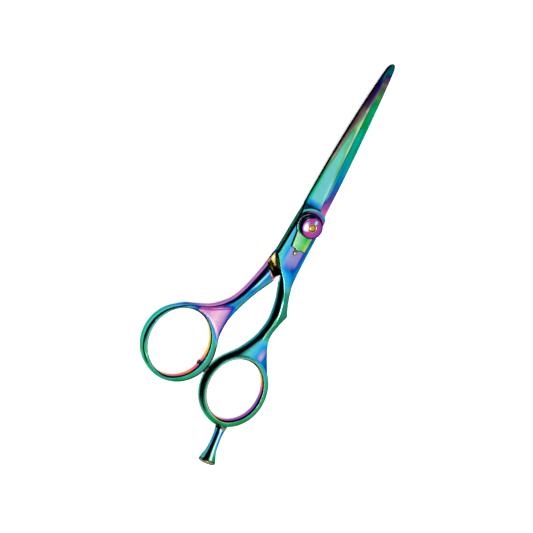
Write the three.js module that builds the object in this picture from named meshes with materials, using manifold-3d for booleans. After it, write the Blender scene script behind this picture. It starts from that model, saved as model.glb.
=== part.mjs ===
// Thinning shears, right handed, 5.5 inch class. Millimetres.
// +Y runs along the closed blades to the tip, +X to the right of a person looking at the dial,
// +Z towards that person. The origin is on the pivot axis, in the flat back of the pivot screw's
// rear head. The shears are drawn closed: the finger half (plain blade, right handle) is in front,
// the thumb half (toothed blade, left handle) lies behind it.
import * as THREE from 'three';
import { mergeVertices } from 'three/addons/utils/BufferGeometryUtils.js';
import { LoftGeometry } from 'three/addons/geometries/LoftGeometry.js';
import Module from 'manifold-3d';

const wasm = await Module();
wasm.setup();

// ---------------------------------------------------------------- driving dimensions
const HANDLE_DEPTH = 5.0;         // rings and shanks, back to front
const PLATE_THICK = 2.45;         // each half round the pivot
const FRONT_INNER = HANDLE_DEPTH - PLATE_THICK;   // inner face of the finger half
const TIP_Y = 64.2;               // pivot to blade tip
const EDGE_ROUND = 0.62;          // rounding of the handles, seen from the front
const EDGE_ROUND_DEPTH = 0.95;    // the same rounding, seen from the side
const OVER = 1;                   // how far a cutter runs past the face that it cuts
const FINE = 32;                  // sides of the large round pieces
const SMALL = 20;                 // sides of the small round pieces

// rings: centre and half axes of the hole, then of the outline round it
const THUMB_RING = { hole: [-21.35, -57.55, 10.98, 12.6], outer: [-21.05, -57.95, 13.6, 14.0] };
const FINGER_RING = { hole: [5.1, -63.9, 9.75, 11.5], outer: [5.02, -64.0, 12.0, 13.9] };

// pivot stack, back to front
const PIVOT = {
  headRadius: 3.6, headTop: 0.9, sinkRadius: 3.8, sinkTop: 1.25,
  journalRadius: 2.0, bushRadius: 2.7, boreRadius: 2.75, bushBore: 2.07,
  washerRadius: 3.5, washerSink: 3.6, washerTop: 3.0, washerBack: 2.5, washerSinkTop: 3.05,
  neckFlat: 1.5, neckTop: 5.75, stemRadius: 1.45, stemTop: 8.0,
  keyRadius: 0.5, keyOffset: 2.2, keyDepth: 0.55, lockHoleRadius: 0.75, lockHoleDepth: 1.1,
};
const FIT = 0.06;                 // radial clearance of sliding and push fits

// leaf plate, spring washer and dial
const LEAF = { back: 5.05, top: 5.8, radius: 4.75, tailY: -9.35, tailLeft: -2.4, tailRight: 3.0 };
const WAVE = { back: 5.85, top: 6.15, inner: 2.2, outer: 3.4 };
const KNOB = { back: 6.25, skirtTop: 8.2, top: 9.7, radius: 4.1, bore: 1.52, well: 1.2, shelf: 8.6, neck: 0.85 };
const LOCK = { headRadius: 1.0, headBack: 9.15, headTop: 9.5, shankRadius: 0.68, shankBack: 7.0 };
const LEAF_PIN = { x: 0.12, y: -10.75, radius: 0.72, back: 3.1, top: 5.6 };

// teeth of the thinning blade
const TEETH = { count: 30, first: 11.3, pitch: 1.68, gap: 0.8, depth: 0.56 };

// bumper: polar angle from the thumb ring's centre, then distances along that line
const BUMPER = { angle: THREE.MathUtils.degToRad(-17.7), headIn: 10.15, headOut: 10.75, headRadius: 0.9,
  shankRadius: 0.6, capBack: 13.6, capFront: 15.02, capRadius: 1.5, shankEnd: 14.4 };

// finger rest: foot of its axis, direction, and its own profile [distance along the axis, radius]
const REST = { foot: new THREE.Vector3(7.62, -77.95, 2.62), aim: new THREE.Vector3(0.055, -0.986, 0.155),
  studRadius: 0.95, studIn: 2.0, studOut: 5.0, bossRadius: 2.05 };
const REST_PROFILE = [[0.06, 2.1], [0.9, 1.85], [2.2, 1.68], [4.2, 1.62], [6.2, 1.68], [8.2, 1.85],
  [10.0, 2.2], [11.6, 2.75], [12.9, 3.1], [13.5, 3.05], [13.9, 2.4]];

// ---------------------------------------------------------------- materials
const metal = (color, roughness) =>
  new THREE.MeshStandardMaterial({ color, roughness, metalness: 1 });
const MATERIAL = {
  forging: metal(0x35b5a5, 0.12),
  dial: metal(0xa04fa8, 0.15),
  leaf: metal(0x7ccf7a, 0.2),
  screw: metal(0x4a8fb0, 0.2),
  gold: metal(0xb9a437, 0.25),
  blackScrew: metal(0x22252b, 0.35),
  steelWasher: metal(0x8f9aa3, 0.3),
  bronze: metal(0xa8803f, 0.35),
  rest: metal(0x2fa79c, 0.15),
  rubber: new THREE.MeshStandardMaterial({ color: 0x141414, roughness: 0.8, metalness: 0 }),
  nylon: new THREE.MeshStandardMaterial({ color: 0xd8d6c8, roughness: 0.5, metalness: 0 }),
};

// ---------------------------------------------------------------- solids and booleans
function solid(geometry) {
  let shape = geometry.index ? geometry : geometry.clone();
  shape.deleteAttribute('normal');
  shape.deleteAttribute('uv');
  shape = mergeVertices(shape, 1e-4);
  const points = shape.attributes.position.array;
  const index = Array.from(shape.index.array);
  const kept = [];
  for (let i = 0; i < index.length; i += 3) {
    const [a, b, c] = index.slice(i, i + 3);
    if (a !== b && b !== c && c !== a) kept.push(a, b, c);
  }
  const corner = (i) => new THREE.Vector3().fromArray(points, 3 * i);
  let volume = 0;
  for (let i = 0; i < kept.length; i += 3) {
    volume += corner(kept[i]).dot(corner(kept[i + 1]).cross(corner(kept[i + 2])));
  }
  if (volume < 0) kept.reverse();
  return new wasm.Manifold(new wasm.Mesh({
    numProp: 3, vertProperties: new Float32Array(points), triVerts: new Uint32Array(kept),
  }));
}

function toGeometry(manifold) {
  const made = manifold.getMesh();
  const geometry = new THREE.BufferGeometry();
  geometry.setAttribute('position', new THREE.BufferAttribute(new Float32Array(made.vertProperties), 3));
  geometry.setIndex(Array.from(made.triVerts));
  geometry.computeVertexNormals();
  return geometry;
}

const part = new THREE.Group();
function add(name, manifold, material) {
  const mesh = new THREE.Mesh(toGeometry(manifold), material);
  mesh.name = name;
  part.add(mesh);
}

const cut = (body, ...tools) => tools.reduce((left, tool) => left.subtract(tool), body);
const join = (body, ...others) => others.reduce((left, other) => left.add(other), body);

// ---------------------------------------------------------------- shape helpers
const at = ([x, y]) => new THREE.Vector2(x, y);

// A smooth line through a few points, as count short pieces.
const smooth = (points, count) => new THREE.SplineCurve(points.map(at)).getSpacedPoints(count);

// An arc of an ellipse [x, y, halfWidth, halfHeight] between two angles in degrees.
function arc([x, y, a, b], from, to, count) {
  const start = THREE.MathUtils.degToRad(from);
  const end = THREE.MathUtils.degToRad(to);
  return new THREE.EllipseCurve(x, y, a, b, start, end, to < from).getPoints(count);
}

// Joins runs of points into one outline and drops points that repeat.
function outline(...runs) {
  const kept = [];
  for (const point of runs.flat()) {
    if (!kept.length || kept[kept.length - 1].distanceTo(point) > 0.05) kept.push(point);
  }
  if (kept[0].distanceTo(kept[kept.length - 1]) < 0.05) kept.pop();
  return new THREE.Shape(kept);
}

// A flat plate between two heights, with its edges rounded by round x roundDepth.
function plate(shape, back, front, round = 0, roundDepth = round, segments = 3) {
  const geometry = new THREE.ExtrudeGeometry(shape, {
    depth: front - back - 2 * roundDepth, steps: 1, bevelEnabled: round > 0, bevelSegments: segments,
    bevelSize: round, bevelThickness: roundDepth, bevelOffset: -round,
  });
  geometry.translate(0, 0, back + roundDepth);
  return solid(geometry);
}

// A piece turned about +Z from a profile of [radius, height].
function turned(profile, sides) {
  const geometry = new THREE.LatheGeometry(profile.map(at), sides);
  geometry.rotateX(Math.PI / 2);
  return geometry;
}

const disc = (radius, back, front, sides) =>
  turned([[0, back], [radius, back], [radius, front], [0, front]], sides);

const tube = (inner, outer, back, front, sides) =>
  turned([[inner, back], [outer, back], [outer, front], [inner, front], [inner, back]], sides);

// Turns a piece made along +Z so that it stands at a place and points along a direction.
function aimed(geometry, place, direction) {
  const turn = new THREE.Quaternion().setFromUnitVectors(
    new THREE.Vector3(0, 0, 1), direction.clone().normalize());
  geometry.applyQuaternion(turn);
  geometry.translate(place.x, place.y, place.z);
  return geometry;
}

function block(low, high) {
  const size = high.map((value, i) => value - low[i]);
  const geometry = new THREE.BoxGeometry(...size);
  geometry.translate(...low.map((value, i) => value + size[i] / 2));
  return solid(geometry);
}

// A round bar with two flats, the section of the pivot screw's neck.
function flattedBar(radius, halfFlat, back, front) {
  const bar = solid(disc(radius, back, front, FINE));
  return bar.intersect(block([-radius - OVER, -halfFlat, back], [radius + OVER, halfFlat, front]));
}

// The concave ground heel: cuts away all that lies above height on the pivot side of a crest line.
// Towards the crest the cut rises on a round of the given radius until it clears the handle.
function heelScoop(crestStart, crestEnd, height, radius, up) {
  const rise = HANDLE_DEPTH - PLATE_THICK;
  const reach = Math.sqrt(2 * radius * rise - rise * rise);
  const along = at(crestEnd).sub(at(crestStart)).normalize();
  const inward = new THREE.Vector2(-along.y, along.x);
  if (inward.dot(at(crestStart).negate()) < 0) inward.negate();
  const middle = at(crestStart).add(at(crestEnd)).multiplyScalar(0.5);
  const axis = middle.clone().addScaledVector(inward, reach);
  const length = 60;
  const wheel = new THREE.CylinderGeometry(radius, radius, length, 48);
  wheel.rotateZ(Math.atan2(along.y, along.x) - Math.PI / 2);
  wheel.translate(axis.x, axis.y, height + up * radius);
  const slab = new THREE.BoxGeometry(length, length, 2 * radius);
  slab.translate(0, length / 2, height + up * radius);
  slab.rotateZ(Math.atan2(inward.y, inward.x) - Math.PI / 2);
  slab.translate(axis.x, axis.y, 0);
  return solid(wheel).add(solid(slab));
}

// ---------------------------------------------------------------- blades
// Plan lines of the plain blade, x as a function of y.
const BLADE_START = 5.0;          // where both blades come out of their tangs
const spineX = (y) => (y > BLADE_START ? -5.3 + 3.2 * (y / 62) ** 2.3 : -4.3);
const cuttingX = (y) => 4.15 - 3.15 * (y / 62) ** 1.8;
const creaseX = (y) => 1.5 - 2.76 * (y / 57) ** 0.72;
const TIP_START = 61.8;
const TIP_STEPS = 5;

// Both blades narrow to a round tip: share of the full half width left at y.
function tipShare(y) {
  const t = Math.max(0, (y - TIP_START) / (TIP_Y - TIP_START));
  return Math.sqrt(Math.max(0, 1 - t * t));
}

function bladeStations() {
  const straight = [BLADE_START, 6.4, 10, 15, 20, 25, 30, 35, 40, 45, 50, 54, 58, TIP_START];
  const tip = [];
  for (let i = 1; i <= TIP_STEPS; i += 1) {
    tip.push(TIP_START + (TIP_Y - TIP_START) * Math.sin((i / TIP_STEPS) * 0.47 * Math.PI));
  }
  return [...straight, ...tip];
}

// Pulls a plan position towards the tip's centre line near the tip.
function nearTip(x, y, left, right) {
  const middle = (left(y) + right(y)) / 2;
  return middle + (x - middle) * tipShare(y);
}

// A solid through sections that run towards +Y, each counterclockwise with X to the right and Z up.
function lofted(sections) {
  const turnedOver = sections.map((section) => [...section].reverse());
  const loft = new LoftGeometry(turnedOver, { capStart: true, capEnd: true });
  const plain = new THREE.BufferGeometry();
  plain.setAttribute('position', loft.attributes.position);
  plain.setIndex(loft.index);
  return solid(plain);
}

// Plain blade: flat inside, a face outside, and a wide bevel down to the cutting edge.
function plainBlade() {
  const sections = bladeStations().map((y) => {
    const fade = y / TIP_Y;
    const faceLeft = HANDLE_DEPTH - 0.55 - 0.85 * fade;
    const faceRight = HANDLE_DEPTH - 0.35 - 0.85 * fade;
    const place = (x, z) => new THREE.Vector3(nearTip(x, y, spineX, cuttingX), y, z);
    return [
      place(spineX(y), FRONT_INNER), place(cuttingX(y), FRONT_INNER),
      place(cuttingX(y), FRONT_INNER + 0.08), place(creaseX(y), faceRight),
      place(spineX(y) + 0.12, faceLeft),
    ];
  });
  return lofted(sections);
}

// Thinning blade: the same build lying behind, its spine on the right and its teeth on the left.
const backSpineX = (y) => cuttingX(y) + 0.15 * (1 - y / TIP_Y);
const toothTipX = (y) => spineX(y) + 1.0;

function toothedBlade() {
  const sections = bladeStations().map((y) => {
    const fade = y / TIP_Y;
    const back = 0.45 + 0.8 * fade;
    const crease = toothTipX(y) + 0.45 * (backSpineX(y) - toothTipX(y));
    const place = (x, z) => new THREE.Vector3(nearTip(x, y, toothTipX, backSpineX), y, z);
    return [
      place(toothTipX(y), PLATE_THICK), place(toothTipX(y), PLATE_THICK - 0.4), place(crease, back),
      place(backSpineX(y) - 0.1, back + 0.1), place(backSpineX(y), PLATE_THICK),
    ];
  });
  const blade = lofted(sections);
  const gaps = [];
  for (let i = 0; i < TEETH.count; i += 1) gaps.push(toothGap(TEETH.first + i * TEETH.pitch));
  return cut(blade, ...gaps);
}

// One gap between two teeth, square at the mouth and round at the root.
function toothGap(y) {
  const width = backSpineX(y) - toothTipX(y);
  const root = toothTipX(y) + TEETH.depth * width;
  const half = TEETH.gap / 2;
  const slot = block([toothTipX(y) - 2 * OVER, y - half, -OVER], [root - half, y + half, PLATE_THICK + OVER]);
  const end = disc(half, -OVER, PLATE_THICK + OVER, 8);
  end.translate(root - half, y, 0);
  return slot.add(solid(end));
}

// ---------------------------------------------------------------- the two forgings
// A shank and its ring in plan. The left side runs down to the ring's outline at the first angle,
// the ring goes round to the second angle, and the runs of the right side lead back up.
function handle(ring, leftSide, [leaves, returns], rightSide) {
  const round = arc(ring.outer, leaves, returns, 34);
  const left = [...leftSide, round[0].toArray()];
  const [first, ...others] = rightSide;
  const right = [[round[round.length - 1].toArray(), ...first], ...others];
  const shape = outline(smooth(left, 20), round, ...right.map((run) => smooth(run, 2 * run.length)));
  shape.holes.push(new THREE.Path(arc(ring.hole, 360, 10, 35)));
  return plate(shape, 0, HANDLE_DEPTH, EDGE_ROUND, EDGE_ROUND_DEPTH);
}

function fingerHandle() {
  const left = [[-1.6, -16.6], [-0.9, -19.2], [0.45, -21.4], [1.6, -24.3], [3.1, -28.6], [4.05, -33.4], [4.25, -37.6],
    [3.1, -43.4], [0.2, -49.4]];
  const spurBelow = [[11.0, -50.4], [9.9, -48.5], [7.9, -44.2], [7.35, -40.8], [8.1, -36.4], [9.2, -32.5]];
  const spurAbove = [[9.2, -32.2], [7.4, -28.4], [6.0, -24.6], [5.2, -21.6], [4.6, -18.0], [3.6, -16.6]];
  return handle(FINGER_RING, left, [134, 410], [spurBelow, spurAbove]);
}

function thumbHandle() {
  const left = [[-5.2, -14.6], [-6.5, -18.2], [-7.05, -21.3], [-8.45, -27.3], [-10.1, -32.3], [-12.4, -36.3],
    [-16.7, -40.3], [-21.2, -42.5], [-25.6, -44.2]];
  const right = [[-9.4, -49.6], [-9.6, -45.3], [-9.1, -41.3], [-7.2, -35.3], [-4.75, -29.3],
    [-2.7, -25.3], [-1.05, -21.4], [-0.2, -19.6], [-0.6, -16.6]];
  return handle(THUMB_RING, left, [124, 379.5], [right]);
}

// Tang of the finger half: a round nose in front of the pivot, straight sides, a slanted heel.
function fingerTang() {
  const nose = arc([0, 0, 6.35, 6.35], 44, 136, 14);
  const left = [[-4.57, 3.9], [-4.43, 0], [-4.65, -5], [-5.0, -12], [-5.13, -13.6]];
  const heel = [[-3.54, -15.6], [-1.95, -17.65], [-0.55, -19.4], [1.4, -21.6]];
  const right = [[4.7, -21.6], [4.65, -17], [4.55, -8], [4.5, 0], [4.57, 4.4]];
  const shape = outline(nose, left.map(at), heel.map(at), right.map(at));
  return plate(shape, FRONT_INNER, HANDLE_DEPTH, 0.12, 0.12, 1);
}

function thumbTang() {
  const shoulder = arc([0, 0, 7.6, 7.6], 55, 125, 8);
  const left = [[-4.55, 5.0], [-4.68, 2.6], [-4.86, -0.4], [-5.2, -8.4], [-5.4, -12.4], [-5.9, -14.9], [-6.4, -18]];
  const heel = [[-1.6, -20.9], [-0.75, -21.0], [0.05, -20.1], [4.45, -13.4]];
  const right = [[4.45, -6], [4.35, 0], [4.36, 6.2]];
  const shape = outline(shoulder, left.map(at), heel.map(at), right.map(at));
  return plate(shape, 0, PLATE_THICK, 0.12, 0.12, 1);
}

const bumperLine = new THREE.Vector3(Math.cos(BUMPER.angle), Math.sin(BUMPER.angle), 0);
const bumperCentre = new THREE.Vector3(THUMB_RING.hole[0], THUMB_RING.hole[1], HANDLE_DEPTH / 2);
const onBumperLine = (geometry) => solid(aimed(geometry, bumperCentre, bumperLine));
const onRestAxis = (geometry) => solid(aimed(geometry, REST.foot, REST.aim));

function fingerHalf() {
  const scoop = heelScoop([7.0, -18.3], [2.0, -22.4], FRONT_INNER, 3.3, -1);
  const boss = onRestAxis(disc(REST.bossRadius, -2.2, 0, SMALL));
  const holeOfRing = plate(
    new THREE.Shape(arc(FINGER_RING.hole, 0, 350, 35)), -OVER, HANDLE_DEPTH + OVER);
  const body = join(cut(fingerHandle(), scoop), fingerTang(), plainBlade(), cut(boss, holeOfRing));
  const pinHole = disc(LEAF_PIN.radius + FIT, LEAF_PIN.back - FIT, HANDLE_DEPTH + OVER, SMALL);
  pinHole.translate(LEAF_PIN.x, LEAF_PIN.y, 0);
  return cut(
    body,
    solid(disc(PIVOT.washerSink, FRONT_INNER - OVER, PIVOT.washerSinkTop, FINE)),
    flattedBar(PIVOT.journalRadius + FIT, PIVOT.neckFlat + FIT, 0, HANDLE_DEPTH + OVER),
    solid(pinHole),
    onRestAxis(disc(REST.studRadius + FIT, -REST.studIn - FIT, OVER, SMALL)));
}

function thumbHalf() {
  const scoop = heelScoop([-7.2, -18.3], [-2.2, -22.4], PLATE_THICK, 3.3, 1);
  const body = join(cut(thumbHandle(), scoop), thumbTang(), toothedBlade());
  return cut(
    body,
    solid(disc(PIVOT.sinkRadius, -OVER, PIVOT.sinkTop, FINE)),
    solid(disc(PIVOT.boreRadius, 0, PLATE_THICK + OVER, FINE)),
    onBumperLine(disc(BUMPER.shankRadius + FIT, BUMPER.headOut - OVER, BUMPER.capFront, SMALL)),
    onBumperLine(disc(BUMPER.capRadius + FIT, BUMPER.capBack - FIT, BUMPER.capFront + OVER, SMALL)));
}

// ---------------------------------------------------------------- pivot pieces
function pivotScrew() {
  const p = PIVOT;
  const turnedBody = solid(turned([
    [0, 0], [p.headRadius - 0.2, 0], [p.headRadius, 0.2], [p.headRadius, p.headTop],
    [p.journalRadius, p.headTop], [p.journalRadius, p.washerSinkTop - FIT], [0, p.washerSinkTop - FIT]], FINE));
  const neck = flattedBar(p.journalRadius, p.neckFlat, p.headTop, p.neckTop);
  const stem = solid(disc(p.stemRadius, p.headTop, p.stemTop, SMALL));
  const keyHoles = [-1, 1].map((side) => {
    const hole = disc(p.keyRadius, -OVER, p.keyDepth, 12);
    hole.translate(side * p.keyOffset, 0, 0);
    return solid(hole);
  });
  const lockHole = solid(disc(p.lockHoleRadius, p.stemTop - p.lockHoleDepth, p.stemTop + OVER, SMALL));
  return cut(join(turnedBody, neck, stem), ...keyHoles, lockHole);
}

// Leaf plate: a round eye under the dial and a tapering tail that ends at the locating pin.
function leafSpring() {
  const eye = arc([0, 0, LEAF.radius, LEAF.radius], -46, 226, 26);
  const tail = [[LEAF.tailLeft, LEAF.tailY], [-0.85, LEAF.tailY], [-0.75, LEAF.tailY - 0.45],
    [1.0, LEAF.tailY - 0.45], [1.1, LEAF.tailY], [LEAF.tailRight, LEAF.tailY]];
  const shape = outline(eye, tail.map(at));
  const body = plate(shape, LEAF.back, LEAF.top, 0.15, 0.15, 1);
  return cut(body, flattedBar(PIVOT.journalRadius + FIT, PIVOT.neckFlat + FIT, 0, LEAF.top + OVER));
}

// Dial: a straight skirt under a flat dome, threaded bore below, a well with a shelf on top.
function tensionKnob() {
  const k = KNOB;
  const dome = [];
  const steps = 6;
  for (let i = 0; i < steps; i += 1) {
    const angle = (i / steps) * 0.5 * Math.PI * 0.9;
    dome.push([k.radius * Math.cos(angle), k.skirtTop + (k.top - k.skirtTop) * Math.sin(angle)]);
  }
  const rim = k.skirtTop + (k.top - k.skirtTop) * Math.sqrt(1 - (k.well / k.radius) ** 2);
  const profile = [
    [k.bore, k.back], [k.radius - 0.25, k.back], [k.radius, k.back + 0.25], ...dome,
    [k.well, rim], [k.well, k.shelf], [k.neck, k.shelf], [k.neck, k.shelf - 0.35],
    [k.bore, k.shelf - 0.35], [k.bore, k.back]];
  return solid(turned(profile, FINE));
}

function knobLockScrew() {
  const s = LOCK;
  const body = solid(turned([
    [0, s.shankBack], [s.shankRadius, s.shankBack], [s.shankRadius, s.headBack], [s.headRadius, s.headBack],
    [s.headRadius, s.headTop - 0.1], [s.headRadius - 0.15, s.headTop], [0, s.headTop]], SMALL));
  const slot = block([-s.headRadius - OVER, -0.14, s.headTop - 0.18], [s.headRadius + OVER, 0.14, s.headTop + OVER]);
  return cut(body, slot);
}

function leafPin() {
  const s = LEAF_PIN;
  const pin = turned([
    [0, s.back], [s.radius, s.back], [s.radius, s.top - 0.25], [0.75 * s.radius, s.top - 0.06], [0, s.top]], SMALL);
  pin.translate(s.x, s.y, 0);
  return solid(pin);
}

// ---------------------------------------------------------------- bumper and finger rest
function bumper() {
  const s = BUMPER;
  const cap = onBumperLine(turned([
    [0, s.capBack], [s.capRadius, s.capBack], [s.capRadius, s.capFront - 0.45],
    [0.8 * s.capRadius, s.capFront - 0.1], [0, s.capFront]], SMALL));
  return cut(cap, onBumperLine(disc(s.shankRadius + FIT, 0, s.shankEnd + FIT, SMALL)));
}

function bumperScrew() {
  const s = BUMPER;
  return onBumperLine(turned([
    [0, s.headIn], [0.7 * s.headRadius, s.headIn], [s.headRadius, s.headIn + 0.25], [s.headRadius, s.headOut],
    [s.shankRadius, s.headOut], [s.shankRadius, s.shankEnd], [0, s.shankEnd]], SMALL));
}

function fingerRest() {
  const [first] = REST_PROFILE;
  const last = REST_PROFILE[REST_PROFILE.length - 1];
  const profile = [[0, first[0]], ...REST_PROFILE.map(([along, radius]) => [radius, along]), [0, last[0] + 0.25]];
  const body = onRestAxis(turned(profile, 28));
  return cut(body, onRestAxis(disc(REST.studRadius + FIT, -OVER, REST.studOut + FIT, SMALL)));
}

const fingerRestStud = () => onRestAxis(disc(REST.studRadius, -REST.studIn, REST.studOut, SMALL));

// ---------------------------------------------------------------- assembly
add('finger_half', fingerHalf(), MATERIAL.forging);
add('thumb_half', thumbHalf(), MATERIAL.forging);
add('pivot_screw', pivotScrew(), MATERIAL.screw);
add('pivot_bushing', solid(tube(
  PIVOT.bushBore, PIVOT.bushRadius, PIVOT.sinkTop + FIT, PLATE_THICK, FINE)), MATERIAL.bronze);
add('rear_washer', solid(tube(
  PIVOT.bushBore, PIVOT.headRadius, PIVOT.headTop + FIT, PIVOT.sinkTop - FIT, FINE)), MATERIAL.nylon);
add('blade_washer', solid(tube(
  PIVOT.bushBore, PIVOT.washerRadius, PIVOT.washerBack, PIVOT.washerTop, FINE)), MATERIAL.nylon);
add('leaf_spring', leafSpring(), MATERIAL.leaf);
add('leaf_pin', leafPin(), MATERIAL.gold);
add('wave_washer', solid(tube(WAVE.inner, WAVE.outer, WAVE.back, WAVE.top, FINE)), MATERIAL.steelWasher);
add('tension_knob', tensionKnob(), MATERIAL.dial);
add('knob_lock_screw', knobLockScrew(), MATERIAL.gold);
add('bumper', bumper(), MATERIAL.rubber);
add('bumper_screw', bumperScrew(), MATERIAL.blackScrew);
add('finger_rest', fingerRest(), MATERIAL.rest);
add('finger_rest_stud', fingerRestStud(), MATERIAL.screw);

export default part;
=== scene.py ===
"""Thinning shears: the looks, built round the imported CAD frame. Lengths in the tables are millimetres."""
import math

import bpy
import numpy as np
from mathutils import Matrix, Vector
from mathutils.geometry import delaunay_2d_cdt


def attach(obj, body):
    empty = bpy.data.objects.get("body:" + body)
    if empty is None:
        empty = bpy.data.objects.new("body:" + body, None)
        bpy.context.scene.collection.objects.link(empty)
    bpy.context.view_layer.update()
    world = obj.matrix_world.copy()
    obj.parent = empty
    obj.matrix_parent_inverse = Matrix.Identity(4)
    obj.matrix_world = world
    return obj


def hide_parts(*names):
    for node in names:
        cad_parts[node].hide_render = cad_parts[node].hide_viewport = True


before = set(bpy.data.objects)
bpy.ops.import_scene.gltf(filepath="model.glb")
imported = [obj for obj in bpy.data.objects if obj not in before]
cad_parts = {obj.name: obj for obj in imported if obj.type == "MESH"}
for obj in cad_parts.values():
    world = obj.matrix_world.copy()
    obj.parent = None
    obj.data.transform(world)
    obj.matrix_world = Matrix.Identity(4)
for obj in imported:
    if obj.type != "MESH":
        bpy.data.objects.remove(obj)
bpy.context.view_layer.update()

MM = 0.001

# --- camera
# The camera looks down on the lying shears, tilted towards their left, with the blades leaning right.
TILT, LEAN, ROLL = math.radians(17.5), math.radians(-12), math.radians(28)
CAMERA_DISTANCE = 1.2
FRAME_WIDTH = 188.7 * MM         # width of the picture, at the shears
ORIGIN_IN_FRAME = (13.96 * MM, 15.19 * MM)   # where the pivot sits, right of and above the middle
SENSOR = 36.0


def make_camera():
    across = Vector((math.cos(LEAN) * math.cos(TILT), math.sin(LEAN) * math.cos(TILT), math.sin(TILT)))
    along = Vector((-math.sin(LEAN), math.cos(LEAN), 0))
    turn = ROLL - LEAN
    right = across * math.cos(turn) + along * math.sin(turn)
    up = along * math.cos(turn) - across * math.sin(turn)
    back = right.cross(up)
    target = -right * ORIGIN_IN_FRAME[0] - up * ORIGIN_IN_FRAME[1]
    data = bpy.data.cameras.new("camera")
    data.sensor_width = SENSOR
    data.lens = SENSOR * CAMERA_DISTANCE / FRAME_WIDTH
    data.clip_start, data.clip_end = 0.01, 10
    camera = bpy.data.objects.new("camera", data)
    bpy.context.scene.collection.objects.link(camera)
    place = Matrix((right, up, back)).transposed().to_4x4()
    place.translation = target + back * CAMERA_DISTANCE
    camera.matrix_world = place
    bpy.context.scene.camera = camera


make_camera()

# --- driving dimensions, as in the CAD
HANDLE_DEPTH = 5.0
PLATE = 2.45                      # thickness of each half at the pivot
FRONT_INNER = HANDLE_DEPTH - PLATE
TIP_START, TIP_Y = 61.8, 64.2     # where the blades' round tip begins and ends
TANG_END = 6.6                    # where the outlines of the tangs turn into those of the blades
THUMB_HOLE, THUMB_OUTER = (-21.35, -57.55, 10.98, 12.6), (-21.05, -57.95, 13.6, 14)
FINGER_HOLE, FINGER_OUTER = (5.1, -63.9, 9.75, 11.5), (5.02, -64, 12, 13.9)
TEETH, FIRST_TOOTH, TOOTH_PITCH, TOOTH_GAP, TOOTH_DEPTH = 30, 11.3, 1.68, 0.8, 0.56
FINGER_BORE, THUMB_BORE = 2.06, 2.75
SCOOP_RADIUS = 3.3
FINGER_CREST = ((7, -18.3), (2, -22.4))
THUMB_CREST = ((-7.2, -18.3), (-2.2, -22.4))
RUN_OUT, RUN_OUT_RADIUS = 9.2, 7.5        # where the ground face begins to rise to the nose
NOSE, NOSE_EDGE, NOSE_DROP = 6.35, 0.75, 0.62
SINK_RADIUS, SINK_TOP = 3.6, 3.05         # seat of the slide washer, in the back of the finger half
REAR_SINK_RADIUS, REAR_SINK_TOP = 3.8, 1.25
TEETH_START, TEETH_INNER = 5.5, 7.6       # the back of the toothed blade is ground from here on
PIN = (0.12, -10.75)
PIN_HOLE, PIN_FLOOR = 0.78, 3.04
REST_FOOT, REST_AIM = (7.62, -77.95, 2.62), (0.055, -0.986, 0.155)
BUMPER_ANGLE = math.radians(-17.7)
HEEL_LINE = -12                   # no scoop above this height of the plan

# edges of the two shanks, and the line along the top of the thumb web
FINGER_SHANK_LEFT = [(-1, -18.9), (0.45, -21.4), (1.6, -24.3), (3.1, -28.6), (4.05, -33.4), (4.25, -37.6),
                     (3.1, -43.4), (0.2, -49.4)]
BELOW_SPUR = [(9.9, -48.5), (7.9, -44.2), (7.35, -40.8), (8.1, -36.4), (9.2, -32.5)]
ABOVE_SPUR = [(9.25, -32.3), (7.4, -28.4), (6, -24.6), (5.2, -21.6), (4.8, -18.5)]
THUMB_SHANK_LEFT = [(-5.9, -14.9), (-6.5, -18.2), (-7.05, -21.3), (-8.45, -27.3), (-10.1, -32.3),
                    (-12.4, -36.3), (-16.7, -40.3), (-21.2, -42.5)]
THUMB_SHANK_RIGHT = [(-9.6, -45.3), (-9.1, -41.3), (-7.2, -35.3), (-4.75, -29.3), (-2.7, -25.3),
                     (-1.05, -21.4)]
SPUR_TIP = (9.25, -32.4)
# both edges of each shank as the coat's bands follow them, straighter towards the tang
FINGER_SHANK = (FINGER_SHANK_LEFT[:1] + FINGER_SHANK_LEFT[2:],
                [*BELOW_SPUR[:-1], SPUR_TIP, *ABOVE_SPUR[1:3], ABOVE_SPUR[-1]])
THUMB_SHANK = (THUMB_SHANK_LEFT[:1] + THUMB_SHANK_LEFT[2:], THUMB_SHANK_RIGHT)
WEB_LINE = [(-20, -43.2), (-16, -41.7), (-12.5, -39.7), (-10, -38.2)]
TANG_CORNER = (-5.13, -13.6)

# how the front edges are rounded: reach as seen from the front, and depth
RING_EDGE = (1.1, 1.35)
HOLE_EDGE = (0.7, 0.9)
NEAR_HOLE_EDGE = (0.3, 0.45)      # on the right of each hole, where its wall is seen
BACK_OF_HANDLE = (0.6, 0.85)
TANG_EDGE = (0.14, 0.12)
KEEN = (0.015, 0.02)              # a ground edge
SPINE_EDGE = (0.5, 1.2)
BACK_EDGE = (0.08, 0.06)
BORE_EDGE = (0.05, 0.05)

STEP = 0.3                        # spacing of points along an outline
BATCH = 2000                      # how many points are measured at a time


# --- plan curves
def catmull(points, step=STEP):
    """A smooth curve through a few points, sampled evenly."""
    p = np.array(points, float)
    p = np.vstack([2 * p[0] - p[1], p, 2 * p[-1] - p[-2]])
    out = []
    for a, b, c, d in zip(p[:-3], p[1:-2], p[2:-1], p[3:]):
        t = np.linspace(0, 1, 24, endpoint=False)[:, None]
        out.append(0.5 * (2 * b + (c - a) * t + (2 * a - 5 * b + 4 * c - d) * t**2
                          + (3 * b - a - 3 * c + d) * t**3))
    return resample(np.vstack([*out, p[-2:-1]]), step)


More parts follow.
